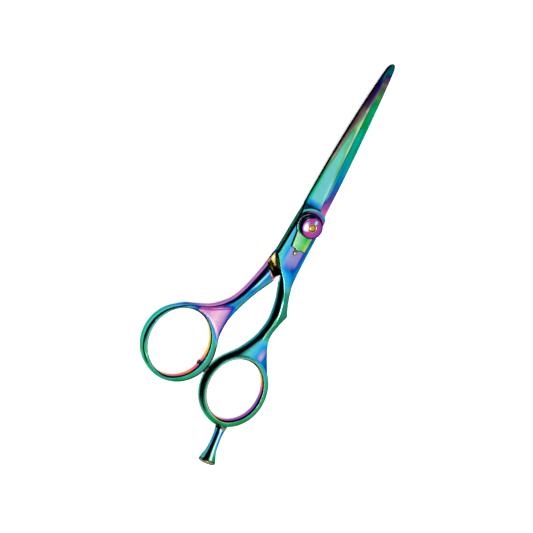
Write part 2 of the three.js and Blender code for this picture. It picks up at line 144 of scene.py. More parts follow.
def resample(points, step=STEP):
    points = np.asarray(points, float)
    run = np.r_[0, np.cumsum(np.linalg.norm(np.diff(points, axis=0), axis=1))]
    n = max(2, int(round(run[-1] / step)) + 1)
    at = np.linspace(0, run[-1], n)
    return np.c_[np.interp(at, run, points[:, 0]), np.interp(at, run, points[:, 1])]


def arc(ellipse, start, end, step=STEP):
    x, y, a, b = ellipse
    t = np.radians(np.linspace(start, end, 400))
    return resample(np.c_[x + a * np.cos(t), y + b * np.sin(t)], step)


def on_ellipse(ellipse, angle):
    x, y, a, b = ellipse
    return (x + a * math.cos(math.radians(angle)), y + b * math.sin(math.radians(angle)))


def tip_share(y):
    t = np.clip((y - TIP_START) / (TIP_Y - TIP_START), 0, 1)
    return np.sqrt(np.maximum(1 - t * t, 0))


def near_tip(x, y, left, right):
    middle = (left(y) + right(y)) / 2
    return middle + (x - middle) * tip_share(y)


def spine_x(y):
    return -5.3 + 3.2 * (np.maximum(y, 0) / 62) ** 2.3


def cutting_x(y):
    return 4.15 - 3.15 * (np.maximum(y, 0) / 62) ** 1.8


def crease_x(y):
    return 1.5 - 2.76 * (np.maximum(y, 0) / 57) ** 0.72


def back_spine_x(y):
    return cutting_x(y) + 0.15 * (1 - y / TIP_Y)


def tooth_tip_x(y):
    return spine_x(y) + 1.0


def edge_x(y, edge):
    """Where an edge given as (x, y) points lies, at the heights y of the plan."""
    xs, ys = np.array(sorted(edge, key=lambda point: point[1])).T
    return np.interp(y, ys, xs)


# --- outlines that carry their edge rounding
def edge_along(points, edge):
    """Rounding at each point. An edge is (reach, depth), or steps of (y, reach, depth)."""
    rows = np.atleast_2d(edge).astype(float)
    if rows.shape[1] == 2:
        return np.tile(rows, (len(points), 1))
    rows = rows[rows[:, 0].argsort()]
    return np.column_stack([np.interp(points[:, 1], rows[:, 0], column) for column in rows[:, 1:].T])


class Run:
    """A stretch of outline, with the rounding of its front edge and of its back edge."""

    def __init__(self, points, front, back=None):
        self.points = np.asarray(points, float)
        self.rounding = np.c_[edge_along(self.points, front), edge_along(self.points, back or front)]


def closed_loop(runs):
    points, rounding = [], []
    for run in runs:
        for p, r in zip(run.points, run.rounding):
            if not points or np.linalg.norm(points[-1] - p) > 0.04:
                points.append(p)
                rounding.append(r)
    if np.linalg.norm(points[0] - points[-1]) < 0.04:
        points.pop()
        rounding.pop()
    return np.array(points), np.array(rounding)


class Outline:
    """One or more closed loops: the outer one counterclockwise, the holes clockwise."""

    SHARP = math.cos(math.radians(32))

    def __init__(self, loops):
        self.loops = [closed_loop(loop) for loop in loops]
        ends = zip(*(self.edge_ends(*loop) for loop in self.loops))
        self.a, self.b, self.na, self.nb, self.va, self.vb, self.sa, self.sb = map(np.concatenate, ends)

    def edge_ends(self, points, rounding):
        """Place, outward normal, rounding and sharpness of both ends of each edge."""
        following = np.roll(points, -1, 0)
        d = following - points
        d /= np.linalg.norm(d, axis=1)[:, None]
        n = np.c_[d[:, 1], -d[:, 0]]
        before = np.roll(n, 1, 0)
        smooth = (n * before).sum(1) > self.SHARP
        mean = n + before
        mean /= np.maximum(np.linalg.norm(mean, axis=1), 1e-9)[:, None]
        smooth_next = np.roll(smooth, -1)
        start_n = np.where(smooth[:, None], mean, n)
        end_n = np.where(smooth_next[:, None], np.roll(mean, -1, 0), n)
        return points, following, start_n, end_n, rounding, np.roll(rounding, -1, 0), ~smooth, ~smooth_next

    def nearest(self, p):
        """Distance to the outline, outward direction, and rounding there, for an array of points."""
        p = np.asarray(p, float)
        dist, normal, value = np.zeros(len(p)), np.zeros((len(p), 2)), np.zeros((len(p), 4))
        edge = self.b - self.a
        length2 = (edge**2).sum(1)
        for i in range(0, len(p), BATCH):
            q = p[i:i + BATCH, None, :] - self.a[None]
            t = np.clip((q * edge).sum(2) / length2, 0, 1)
            away = q - t[..., None] * edge
            d2 = (away**2).sum(2)
            k = d2.argmin(1)
            rows = np.arange(len(k))
            t, away, d = t[rows, k][:, None], away[rows, k], np.sqrt(d2[rows, k])
            n = self.na[k] * (1 - t) + self.nb[k] * t
            corner = ((t[:, 0] < 1e-6) & self.sa[k]) | ((t[:, 0] > 1 - 1e-6) & self.sb[k])
            use = corner & (d > 1e-4)
            n[use] = -away[use]
            n /= np.maximum(np.linalg.norm(n, axis=1), 1e-9)[:, None]
            dist[i:i + BATCH], normal[i:i + BATCH] = d, n
            value[i:i + BATCH] = self.va[k] * (1 - t) + self.vb[k] * t
        return dist, normal, value

    def inside(self, p):
        p = np.asarray(p, float)
        found = np.zeros(len(p), bool)
        for i in range(0, len(p), BATCH):
            x, y = p[i:i + BATCH, :1], p[i:i + BATCH, 1:]
            straddles = (self.a[:, 1] > y) != (self.b[:, 1] > y)
            dy = np.where(self.b[:, 1] == self.a[:, 1], 1e-12, self.b[:, 1] - self.a[:, 1])
            crossing = self.a[:, 0] + (y - self.a[:, 1]) / dy * (self.b[:, 0] - self.a[:, 0])
            found[i:i + BATCH] = (straddles & (x < crossing)).sum(1) % 2 == 1
        return found


# --- relief plates
FINE_RINGS = (0.02, 0.07, 0.15, 0.26, 0.4, 0.56, 0.76, 1)
COARSE_RINGS = (0.12, 0.45, 1)
GRID = 0.55
WALL_ROWS = 5                     # rows of faces up a wall
WIDE_ROUNDING = 0.3               # from this reach on, a rounded edge has the fine rings
GRID_GAP = 0.3                    # how far the plain grid keeps from roundings and creases


def plan_points(outline, creases):
    """Every plan point of a plate and the lines that its triangles have to keep."""
    points, edges = [], []
    for loop, _ in outline.loops:
        base = len(points)
        points.extend(loop)
        edges.extend((base + i, base + (i + 1) % len(loop)) for i in range(len(loop)))
    reach = np.maximum(outline.va[:, 0], outline.va[:, 2])
    for rings, chosen in ((FINE_RINGS, reach >= WIDE_ROUNDING), (COARSE_RINGS, reach < WIDE_ROUNDING)):
        for share in rings:
            d = share * reach[chosen]
            inset = outline.a[chosen] - outline.na[chosen] * d[:, None]
            real, _, _ = outline.nearest(inset)
            points.extend(inset[(real > 0.96 * d) & outline.inside(inset)])
    lines = []
    for crease in creases:
        real, _, _ = outline.nearest(crease)
        good = outline.inside(crease) & (real > 0.012)
        base = len(points)
        kept = np.cumsum(good) - 1
        points.extend(crease[good])
        lines.append(crease[good])
        edges.extend((base + kept[i], base + kept[i + 1]) for i in range(len(crease) - 1)
                     if good[i] and good[i + 1])
    low, high = outline.a.min(0), outline.a.max(0)
    xs, ys = np.meshgrid(np.arange(low[0], high[0], GRID), np.arange(low[1], high[1], GRID * 0.866))
    xs[1::2] += GRID / 2
    grid = np.c_[xs.ravel(), ys.ravel()]
    grid = grid[outline.inside(grid)]
    real, _, rounding = outline.nearest(grid)
    grid = grid[real > np.maximum(rounding[:, 0], rounding[:, 2]) + GRID_GAP]
    for line in lines:
        if len(line) and len(grid):
            gap = np.sqrt(((grid[:, None] - line[None]) ** 2).sum(2)).min(1)
            grid = grid[gap > GRID_GAP]
    points.extend(grid)
    return np.array(points), edges


ROUNDING_POWER = 1.45             # 2 is a quarter ellipse, 1 a flat chamfer


def edge_profile(t):
    """Height share of a rounded edge at a share t of its reach, and the two terms of its normal."""
    u = 1 - np.clip(t, 0, 1)
    s = np.maximum(1 - u**ROUNDING_POWER, 0) ** (1 / ROUNDING_POWER)
    return s, u ** (ROUNDING_POWER - 1), s ** (ROUNDING_POWER - 1)


def slope(height, p, step=2e-3):
    dx, dy = np.array([step, 0]), np.array([0, step])
    gx = (height(p + dx) - height(p - dx)) / (2 * step)
    gy = (height(p + dy) - height(p - dy)) / (2 * step)
    return np.c_[gx, gy]


def triangulate(outline, creases):
    """Plan points inside an outline, and the counterclockwise triangles between them."""
    plan, edges = plan_points(outline, creases)
    made = delaunay_2d_cdt([Vector(p) for p in plan], [(int(a), int(b)) for a, b in edges], [], 0, 1e-7)
    plan = np.array([tuple(v) for v in made[0]])
    tris = np.array([f for f in made[2] if len(f) == 3])
    tris = tris[outline.inside(plan[tris].mean(1))]
    used = np.unique(tris)
    renumber = np.full(len(plan), -1)
    renumber[used] = np.arange(len(used))
    plan, tris = plan[used], renumber[tris]
    to_b, to_c = plan[tris[:, 1]] - plan[tris[:, 0]], plan[tris[:, 2]] - plan[tris[:, 0]]
    clockwise = to_b[:, 0] * to_c[:, 1] < to_b[:, 1] * to_c[:, 0]
    tris[clockwise] = tris[clockwise][:, ::-1]
    return plan, tris


def wall_normals(outline, ends):
    """Level normals at both ends of each wall edge: the outline's own where it is smooth."""
    run = ends[:, 1] - ends[:, 0]
    run /= np.linalg.norm(run, axis=1)[:, None]
    flat = np.c_[run[:, 1], -run[:, 0]]
    found = []
    for here, there in ((0, 1), (1, 0)):
        _, n, _ = outline.nearest(ends[:, here] + 0.02 * (ends[:, there] - ends[:, here]))
        n = np.where(((n * flat).sum(1) > 0.8)[:, None], n, flat)
        found.append(np.c_[n, np.zeros(len(n))])
    return found


def relief_plate(name, outline, front, back, creases, coat):
    """A closed plate over an outline, between two height functions, with rounded edges, exact
    shading normals, and a colour at each face corner from coat(points, normals). The points
    that coat gets have a fourth column: 1 on the front side, 0 on the back and the walls."""
    plan, tris = triangulate(outline, creases)
    count = len(plan)
    dist, outward, rounding = outline.nearest(plan)
    dist[dist < 2e-4] = 0
    sheets, normals, seen = [], [], []
    for sign, height, (reach, depth) in ((1, front, rounding[:, :2].T), (-1, back, rounding[:, 2:].T)):
        share, lean, lift = edge_profile(dist / reach)
        z = height(plan) - sign * depth * (1 - share)
        sheets.append(np.c_[plan, z])
        corner = tris[:, ::sign]
        probe = plan[corner] + 0.08 * (plan[tris].mean(1)[:, None] - plan[corner])
        grade = slope(height, probe.reshape(-1, 2)).reshape(-1, 3, 2)
        upright = lift[corner][..., None]
        flat = outward[corner] * (lean * depth / reach)[corner][..., None] - sign * grade * upright
        normals.append(np.concatenate([flat, sign * upright], 2).reshape(-1, 3))
        seen.append(np.c_[probe.reshape(-1, 2), z[corner].ravel()])

    # edges of the triangulation that have a triangle on one side only carry the walls
    pairs = np.vstack([tris[:, [0, 1]], tris[:, [1, 2]], tris[:, [2, 0]]])
    rim = pairs[~np.isin(pairs[:, 0] * count + pairs[:, 1], pairs[:, 1] * count + pairs[:, 0])]
    rim_points = np.unique(rim)
    top, bottom = sheets
    levels = [np.arange(count)]
    for j in range(1, WALL_ROWS):
        down = j / WALL_ROWS
        level = np.zeros(count, int)
        level[rim_points] = 2 * count + (j - 1) * len(rim_points) + np.arange(len(rim_points))
        levels.append(level)
        sheets.append(top[rim_points] * (1 - down) + bottom[rim_points] * down)
    levels.append(np.arange(count) + count)
    verts = np.vstack(sheets)
    first, second = rim.T
    corners = np.vstack([np.c_[high[second], high[first], low[first], low[second]]
                         for high, low in zip(levels, levels[1:])])
    start, end = wall_normals(outline, plan[rim])
    normals.append(np.tile(np.stack([end, start, start, end], 1), (WALL_ROWS, 1, 1)).reshape(-1, 3))
    seen.append(verts[corners].reshape(-1, 3))
    normals, seen = np.vstack(normals), np.vstack(seen)
    normals /= np.maximum(np.linalg.norm(normals, axis=1), 1e-9)[:, None]

    mesh = bpy.data.meshes.new(name)
    faces = tris.tolist() + (tris[:, ::-1] + count).tolist() + corners.tolist()
    mesh.from_pydata((verts * MM).tolist(), [], faces)
    mesh.polygons.foreach_set("use_smooth", [True] * len(mesh.polygons))
    mesh.update()
    mesh.normals_split_custom_set(normals.tolist())
    on_front = np.arange(len(seen)) < tris.size
    store_coat(mesh, coat(np.c_[seen, on_front], normals))
    return linked(name, mesh)


def linked(name, data):
    """A new object in the scene."""
    made = bpy.data.objects.new(name, data)
    bpy.context.scene.collection.objects.link(made)
    return made


# --- heights of the two halves
def scoop(points, crest):
    """How far the handle stands proud of the heel's flat, 0 on the pivot's side of the scoop, and
    the scoop's reach, axis, inward direction and direction along its crest."""
    a, b = np.array(crest)
    run = (b - a) / np.linalg.norm(b - a)
    inward = np.array([-run[1], run[0]])
    if inward @ -a < 0:
        inward = -inward
    rise = FRONT_INNER
    reach = math.sqrt(2 * SCOOP_RADIUS * rise - rise * rise)
    axis = (a + b) / 2 + inward * reach
    s = -(points - axis) @ inward
    curve = SCOOP_RADIUS - np.sqrt(np.maximum(SCOOP_RADIUS**2 - np.clip(s, 0, SCOOP_RADIUS) ** 2, 0))
    return np.where(s > reach, rise, np.minimum(curve, rise)), reach, axis, inward, run


def scoop_lines(crest):
    """Plan lines that follow the scoop's curve."""
    length, spacing = 14, 0.25
    _, reach, axis, inward, run = scoop(np.zeros((1, 2)), crest)
    along_crest = np.linspace(-length / 2, length / 2, int(length / spacing))[:, None]
    return [axis - inward * reach * share + run * along_crest for share in (0, 0.25, 0.5, 0.75, 1)]


def ease(x, low, high):
    """0 up to low, 1 from high on, and a smooth rise between."""
    t = np.clip((x - low) / (high - low), 0, 1)
    return t * t * (3 - 2 * t)


def blade_face(x, y):
    fade = y / TIP_Y
    left, right = 4.45 - 0.85 * fade, 4.65 - 0.85 * fade
    share = (x - spine_x(y)) / np.maximum(crease_x(y) - spine_x(y), 0.3)
    face = left + (right - left) * np.clip(share, 0, 1)
    down = (x - crease_x(y)) / np.maximum(cutting_x(y) - crease_x(y), 0.3)
    bevel = right - (right - FRONT_INNER - 0.1) * np.clip(down, 0, 1)
    rise = RUN_OUT_RADIUS - np.sqrt(np.maximum(RUN_OUT_RADIUS**2 - np.clip(RUN_OUT - y, 0, 6) ** 2, 0))
    return np.where(x > crease_x(y), bevel + 0.5 * rise, face + rise)


def finger_front(p):
    x, y = p[:, 0], p[:, 1]
    r = np.hypot(x, y)
    t = np.clip((r - NOSE + NOSE_EDGE) / NOSE_EDGE, 0, 1)
    tang = HANDLE_DEPTH - NOSE_DROP * (1 - np.sqrt(1 - 0.98 * t * t))
    tang = np.where(r > NOSE, -1, tang)
    z = np.where(y > 3.5, np.maximum(tang, blade_face(x, y)), HANDLE_DEPTH)
    pin = np.hypot(x - PIN[0], y - PIN[1]) < PIN_HOLE + 0.005
    return np.where(pin, PIN_FLOOR, np.minimum(z, HANDLE_DEPTH))


def finger_back(p):
    stands, *_ = scoop(p, FINGER_CREST)
    z = np.where(p[:, 1] > HEEL_LINE, FRONT_INNER, FRONT_INNER - stands)
    return np.where(np.hypot(p[:, 0], p[:, 1]) < SINK_RADIUS + 0.005, SINK_TOP, z)


def thumb_front(p):
    stands, *_ = scoop(p, THUMB_CREST)
    return np.where(p[:, 1] > HEEL_LINE, PLATE, PLATE + stands * (HANDLE_DEPTH - PLATE) / FRONT_INNER)


def teeth_crease_x(y):
    """Where the toothed blade's back begins to slope down to the teeth."""
    return tooth_tip_x(y) + 0.45 * (back_spine_x(y) - tooth_tip_x(y))


def thumb_back(p):
    x, y = p[:, 0], p[:, 1]
    tip, crease = tooth_tip_x(y), teeth_crease_x(y)
    back = 0.45 + 0.8 * y / TIP_Y
    rise = (PLATE - 0.4 - back) * np.clip((crease - x) / np.maximum(crease - tip, 0.3), 0, 1)
    z = np.where((y > TEETH_START) & (np.hypot(x, y) > TEETH_INNER), back + rise, 0)
    return np.where(np.hypot(x, y) < REAR_SINK_RADIUS, REAR_SINK_TOP, z)


def circle(x, y, radius, count, clockwise=False):
    t = np.linspace(0, 2 * math.pi, count, endpoint=False)
    if clockwise:
        t = t[::-1]
    return np.c_[x + radius * np.cos(t), y + radius * np.sin(t)]


# --- outlines of the two halves
def along_y(x_of_y, start, stop, step=STEP):
    count = max(3, int(abs(stop - start) / step))
    y = np.linspace(start, stop, count)
    return np.c_[x_of_y(y), y]


def tip_arc(left, right, start, end, count=14):
    """Part of the round tip, from an angle on the right line over to an angle on the left line."""
    a = np.radians(np.linspace(start, end, count))
    y = TIP_START + (TIP_Y - TIP_START) * np.sin(a)
    side = np.where(a < math.pi / 2, right(y), left(y))
    middle = (left(y) + right(y)) / 2
    return np.c_[middle + (side - middle) * np.abs(np.cos(a)), y]


def shank_lines(shank, start, end):
    """Lines along a shank, close together where its burnt band meets its highlight."""
    y = np.linspace(start, end, int(abs(end - start) / STEP))
    low, high = edge_x(y, shank[0]), edge_x(y, shank[1])
    return [np.c_[low + share * (high - low), y] for share in (0.29, 0.34, 0.39, 0.44, 0.5, 0.56)]


def ring_hole(ellipse):
    low, high = ellipse[1] - ellipse[3], ellipse[1] + ellipse[3]
    near = [(low, *HOLE_EDGE), (low + 2, *NEAR_HOLE_EDGE), (high - 2, *NEAR_HOLE_EDGE), (high, *HOLE_EDGE)]
    return [Run(arc(ellipse, 90, -90), near, BACK_OF_HANDLE),
            Run(arc(ellipse, 270, 90), HOLE_EDGE, BACK_OF_HANDLE)]


def bore(radius, count):
    return [Run(circle(0, 0, radius, count, clockwise=True), BORE_EDGE)]


def finger_outline():
    below = catmull([on_ellipse(FINGER_OUTER, 410), (11, -50.4), *BELOW_SPUR])
    right = catmull([ABOVE_SPUR[-1], (4.65, -14), (4.55, -8), (4.5, 0), (4.55, 3.2), (4.35, 5),
                     (4.17, TANG_END)])
    left = catmull([(-5.25, TANG_END), (-5, 5.2), (-4.62, 3.6), (-4.43, 0), (-4.65, -5), (-5, -12),
                    TANG_CORNER])
    heel = resample([TANG_CORNER, (-3.54, -15.6), (-1.95, -17.65), FINGER_SHANK_LEFT[0]])
    shank = catmull([*FINGER_SHANK_LEFT, on_ellipse(FINGER_OUTER, 134)])
    left_edge = [(-19, *TANG_EDGE), (-22, 1.1, 1.1), (-26, 2, 1.9), (-38, 2.2, 2), (-46, 1.3, 1.5),
                 (-54, *RING_EDGE)]
    right_edge = [(-18.5, *TANG_EDGE), (-24, 0.9, 0.6), (-30, 1.6, 1), (-40, 1.3, 1), (-50, 0.8, 0.8)]
    back_edge = [(-18.5, *TANG_EDGE), (-24, *BACK_OF_HANDLE)]
    tip_edge = [(TIP_START, *SPINE_EDGE), (TIP_Y, 0.3, 0.5)]
    outer = [
        Run(arc(FINGER_OUTER, 134, 410), [(-52, 0.75, 0.9), (-60, *RING_EDGE)], BACK_OF_HANDLE),
        Run(below, right_edge, BACK_OF_HANDLE),
        Run(catmull(ABOVE_SPUR), right_edge, back_edge),
        Run(right, TANG_EDGE),
        Run(along_y(cutting_x, TANG_END, TIP_START), KEEN),
        Run(tip_arc(spine_x, cutting_x, 0, 90), KEEN),
        Run(tip_arc(spine_x, cutting_x, 90, 180), tip_edge, BACK_EDGE),
        Run(along_y(spine_x, TIP_START, TANG_END), SPINE_EDGE, BACK_EDGE),
        Run(left, [(TANG_END, *SPINE_EDGE), (4, *TANG_EDGE)], BACK_EDGE),
        Run(heel, TANG_EDGE),
        Run(shank, left_edge, back_edge)]
    return Outline([outer, ring_hole(FINGER_HOLE), bore(FINGER_BORE, 60)])


def finger_creases():
    ys = np.linspace(6.7, TIP_Y - 0.4, 190)
    lines = [np.c_[near_tip(crease_x(ys), ys, spine_x, cutting_x), ys]]
    rings = (*np.arange(4.8, NOSE - 0.05, 0.12), NOSE - 0.06, NOSE, NOSE + 0.03)
    lines += [arc((0, 0, radius, radius), 30, 150, 0.2) for radius in rings]
    lines += [resample([(-6, y), (5, y)]) for y in np.arange(TANG_END, RUN_OUT + 0.1, 0.3)]
    lines += [circle(*PIN, radius, 40) for radius in (PIN_HOLE, PIN_HOLE + 0.015, PIN_HOLE + 0.12)]
    lines += [circle(0, 0, radius, 90) for radius in (SINK_RADIUS, SINK_RADIUS + 0.015)]
    return lines + scoop_lines(FINGER_CREST) + shank_lines(FINGER_SHANK, -20, -45)


def toothed_edge():
    """The teeth side, from the tip down to the heel: round slots between square-ended teeth."""
    points = []
    half = TOOTH_GAP / 2
    y = TIP_START
    for i in reversed(range(TEETH)):
        middle = FIRST_TOOTH + i * TOOTH_PITCH
        tip = float(tooth_tip_x(middle))
        root = tip + TOOTH_DEPTH * (float(back_spine_x(middle)) - tip)
        points += [
            along_y(tooth_tip_x, y, middle + half, 0.25),
            resample([(tip, middle + half), (root - half, middle + half)], 0.5),
            root_arc(root - half, middle, half),
            resample([(root - half, middle - half), (tip, middle - half)], 0.5)]
        y = middle - half
    points.append(along_y(tooth_tip_x, y, TANG_END, 0.25))
    return np.vstack(points)


def root_arc(x, y, radius):
    turn = np.linspace(math.pi / 2, -math.pi / 2, 9)
    return np.c_[x + radius * np.cos(turn), y + radius * np.sin(turn)]


def thumb_outline():
    right = catmull([on_ellipse(THUMB_OUTER, 379.5), (-9.4, -49.6), *THUMB_SHANK_RIGHT])
    heel = resample([(-1, -21.3), (-0.4, -20.7), (0.05, -20.1), (4.45, -13.4)])
    side = catmull([(4.45, -13.4), (4.4, -6), (4.35, 0), (4.36, 6.4)])
    left = catmull([(-4.3, TANG_END), (-4.5, 5), (-4.68, 2.6), (-4.86, -0.4), (-5.2, -8.4), (-5.4, -12.4),
                    THUMB_SHANK_LEFT[0]])
    shank = catmull([*THUMB_SHANK_LEFT, (-25.6, -44.2), on_ellipse(THUMB_OUTER, 124)])
    left_edge = [(-15, *TANG_EDGE), (-18, 0.6, 0.6), (-21, 1.4, 1.4), (-26, 2, 1.9), (-33, 1.8, 1.7),
                 (-38, 0.8, 0.9), (-43, 0.55, 0.7), (-50, *RING_EDGE)]
    right_edge = [(-21.4, 0.6, 0.4), (-25, 1.6, 1.1), (-36, 1.5, 1.1), (-42, 0.9, 0.8), (-50, 0.7, 0.7)]
    outer = [
        Run(arc(THUMB_OUTER, 124, 379.5), [(-46, 0.7, 0.85), (-52, *RING_EDGE)], BACK_OF_HANDLE),
        Run(right, right_edge, BACK_OF_HANDLE),
        Run(heel, TANG_EDGE),
        Run(side, TANG_EDGE),
        Run(along_y(back_spine_x, TANG_END, TIP_START), BACK_EDGE),
        Run(tip_arc(tooth_tip_x, back_spine_x, 0, 180, 26), KEEN),
        Run(toothed_edge(), KEEN),
        Run(left, TANG_EDGE),
        Run(shank, left_edge, [(-14.9, *TANG_EDGE), (-20, *BACK_OF_HANDLE)])]
    return Outline([outer, ring_hole(THUMB_HOLE), bore(THUMB_BORE, 72)])


def thumb_creases():
    ys = np.linspace(6.8, TIP_Y - 0.5, 190)
    lines = [np.c_[teeth_crease_x(ys), ys]]
    lines += [arc((0, 0, radius, radius), 50, 130) for radius in (TEETH_INNER, TEETH_INNER + 0.02)]
    lines += [circle(0, 0, radius, 90) for radius in (REAR_SINK_RADIUS, REAR_SINK_RADIUS + 0.015)]
    lines += [resample([(x, y + offset) for x, y in WEB_LINE[1:]]) for offset in (-0.4, -0.15, 0.1, 0.35)]
    return lines + scoop_lines(THUMB_CREST) + shank_lines(THUMB_SHANK, -22, -37)


# --- the titanium coat
# The coat's colour runs through one cycle as the oxide gets thicker: film 0 to 1, and any whole number on
# top of it changes nothing. Tone carries painted light: it is 0 where shade and dark reflections are
# painted black, 0.5 where the coat shows its full colour, and 1 where a highlight is painted white. Veil
# takes colour away, also to grey painted highlights and reflections, and where it is below 0 it adds colour.
CYCLE = [
    (0.00, (0.13, 0.025, 0.27)), (0.09, (0.015, 0.015, 0.25)), (0.18, (0, 0.065, 0.34)),
    (0.27, (0, 0.24, 0.56)), (0.37, (0.06, 0.4, 0.45)), (0.47, (0.04, 0.42, 0.29)),
    (0.57, (0.003, 0.25, 0.07)), (0.67, (0.3, 0.46, 0.13)), (0.75, (0.66, 0.5, 0.03)),
    (0.83, (0.58, 0.15, 0.05)), (0.91, (0.48, 0.06, 0.22)), (1.00, (0.13, 0.025, 0.27))]
# painted black for shade and dark reflections, painted white for highlights
PAINTED_DARK, PAINTED_WHITE = (0.002, 0.002, 0.004, 1), (0.95, 0.97, 1, 1)
GRAZING_WHITE = 0.28              # how far the coat's colour fades towards a surface's rim


def along(values, table):
    """Straight-line steps through a short table of (place, value)."""
    places, results = zip(*table)
    return np.interp(values, places, results)


def blend(first, second, weight):
    return first * (1 - weight) + second * weight


def fade_out(x, low, high):
    return 1 - ease(x, low, high)


def spot(*axes):
    """A soft spot: 1 in its middle, and less away from it, by (value, middle, width) along each axis."""
    return np.exp(-sum(((value - middle) / width) ** 2 for value, middle, width in axes))


def bearing(x, y):
    return np.degrees(np.arctan2(y, x))


def ring_share(x, y, hole, outer):
    """0 at the edge of a ring's hole, 1 at the ring's outline."""
    inner = np.hypot((x - hole[0]) / hole[2], (y - hole[1]) / hole[3])
    outer_reach = np.hypot((x - outer[0]) / outer[2], (y - outer[1]) / outer[3])
    return np.clip((inner - 1) / np.maximum(inner - outer_reach, 1e-6), 0, 3)


def share_between(x, low, high):
    return np.clip((x - low) / np.maximum(high - low, 0.3), 0, 1)


def ground_face(x, y):
    """Film, tone and veil between spine and crease: cyan at the heel, green, violet, dark teal."""
    share = share_between(x, spine_x(y), crease_x(y))
    film = along(y, [
        (6, 0.2), (7.4, 0.22), (8.6, 0.29), (9.6, 0.37), (15, 0.4), (24, 0.44), (32, 0.5), (37, 0.565),
        (42, 0.61), (44, 0.65), (46.4, 0.97), (51, 1.01), (54.5, 1.08), (57, 1.17), (60, 1.38), (64, 1.42)])
    tone = along(y, [
        (6, 0.38), (8.5, 0.42), (9.8, 0.46), (20, 0.46), (30, 0.49), (38, 0.49), (43, 0.38), (45, 0.24),
        (51, 0.16), (57, 0.16), (60, 0.1), (64, 0.07)])
    veil = along(y, [
        (8, 0), (9.6, 0.15), (32, 0.12), (38, 0.1), (42.5, 0.3), (44, 0.55), (46.4, 0.45), (49, 0),
        (62, -0.2)])

    beside_crease = ease(share, 0.76, 0.88)
    film += beside_crease * along(y, [
        (8, 0), (14, 0.06), (20, 0.15), (30, 0.14), (36, 0.08), (42, 0.02), (45, 0)])
    tone += beside_crease * along(y, [
        (8, 0), (12, 0.08), (22, 0.06), (36, 0.05), (42, 0.08), (44.6, 0.02), (46, 0.24), (51, 0.22),
        (56, 0.02)])
    veil += beside_crease * along(y, [(8, 0.05), (30, 0.05), (42, 0.3), (46, 0.4), (50, 0.15), (54, 0)])

    reach = along(y, [
        (10, 0.3), (18, 0.28), (24, 0.24), (28, 0.28), (36, 0.4), (42, 0.66), (46, 0.8), (52, 0.8),
        (60, 0.3)])
    by_spine = fade_out(share, along(y, [(16, 0.1), (26, 0.6)]) * reach, reach)
    film += by_spine * along(y, [
        (8, 0.12), (14, 0.15), (20, 0.13), (24, 0.2), (28, 0.46), (36, 0.4), (43, 0.3), (45.5, 0.02),
        (56, -0.03)])
    veil += by_spine * along(y, [(9, -0.4), (18, -0.25), (23, 0), (27, 0.4), (40, 0.3), (48, 0)])
    # painted shade: the face darkens beside the spine, where it rounds over
    spine_shade = along(y, [(8, 1), (20, 0.9), (27, 0.4), (36, 0.22), (44, 0.22), (50, 0.3), (62, 0.5)])
    tone *= blend(1, spine_shade, fade_out(share, 0.8 * reach, 1.35 * reach))

    # a black line painted along the spine, as its dark reflection
    line_start = along(y, [(10, 0.2), (34, 0.34)])
    line_end = along(y, [(10, 0.38), (34, 0.62), (60, 0.8)])
    tone = blend(0.004, tone, ease(x - spine_x(y), line_start, line_end))
    tone *= along(y, [(6, 0.1), (6.7, 0.1), (7.1, 1)])
    tone *= 1 - 0.9 * ease(y, TIP_Y - 1.1, TIP_Y - 0.4)
    return film, tone, veil


def bevel(x, y):
    """Film, tone and veil of the bevel between crease and cutting edge: rose, blue, green, dark teal."""
    share = share_between(x, crease_x(y), cutting_x(y))
    film = along(y, [
        (6, -0.1), (8, -0.06), (9.5, -0.03), (11, 0.05), (12.5, 0.13), (15, 0.2), (20, 0.25), (25, 0.33),
        (30, 0.39), (35, 0.44), (40, 0.54), (46, 0.57), (50, 0.575), (53, 0.59), (55.3, 0.63), (57, 0.97),
        (59, 1.02), (61, 1.3), (64, 1.42)])
    film += ease(share, 0.45, 0.75) * along(y, [(17, 0), (24, 0.15), (32, 0.14), (40, 0.04), (46, 0)])
    film += fade_out(share, 0.05, 0.42) * along(y, [
        (9, 0), (11, 0.25), (16, 0.26), (24, 0.2), (32, 0.1), (36, 0.03)])
    film -= ease(share, 0.86, 1) * along(y, [
        (10, 0.1), (20, 0.24), (30, 0.36), (40, 0.3), (48, 0.1), (54, 0)])
    tone = along(y, [
        (6, 0.5), (8, 0.44), (12, 0.42), (15, 0.36), (18, 0.3), (24, 0.27), (34, 0.29), (38, 0.36),
        (46, 0.4), (51, 0.28), (54, 0.12), (55.4, 0.07), (57, 0.07), (58.5, 0.13), (62, 0.07)])
    veil = along(y, [
        (12, 0.1), (17, 0), (22, -0.35), (46, -0.35), (51, 0), (53.5, 0.2), (55.3, 0.85), (57, 0.75),
        (58.5, 0.2), (62, -0.2)])
    return film, tone * (0.5 + 0.5 * ease(share, 0, 0.22)), veil


def blade_coat(x, y):
    return [np.where(x > crease_x(y), *pair) for pair in zip(bevel(x, y), ground_face(x, y))]


# film on the wall of each finger hole, by the bearing from the middle of the hole
FINGER_INNER = [(-180, 0.95), (-120, 0.93), (-92, 0.88), (-65, 0.985), (5, 0.985), (25, 0.91), (48, 0.77),
                (90, 0.8), (180, 0.95)]
THUMB_INNER = [(-180, 0.95), (-125, 0.92), (-95, 0.79), (-65, 0.88), (-42, 0.8), (-22, 0.89), (3, 0.8),
               (20, 0.755), (70, 0.75), (110, 0.85), (180, 0.95)]


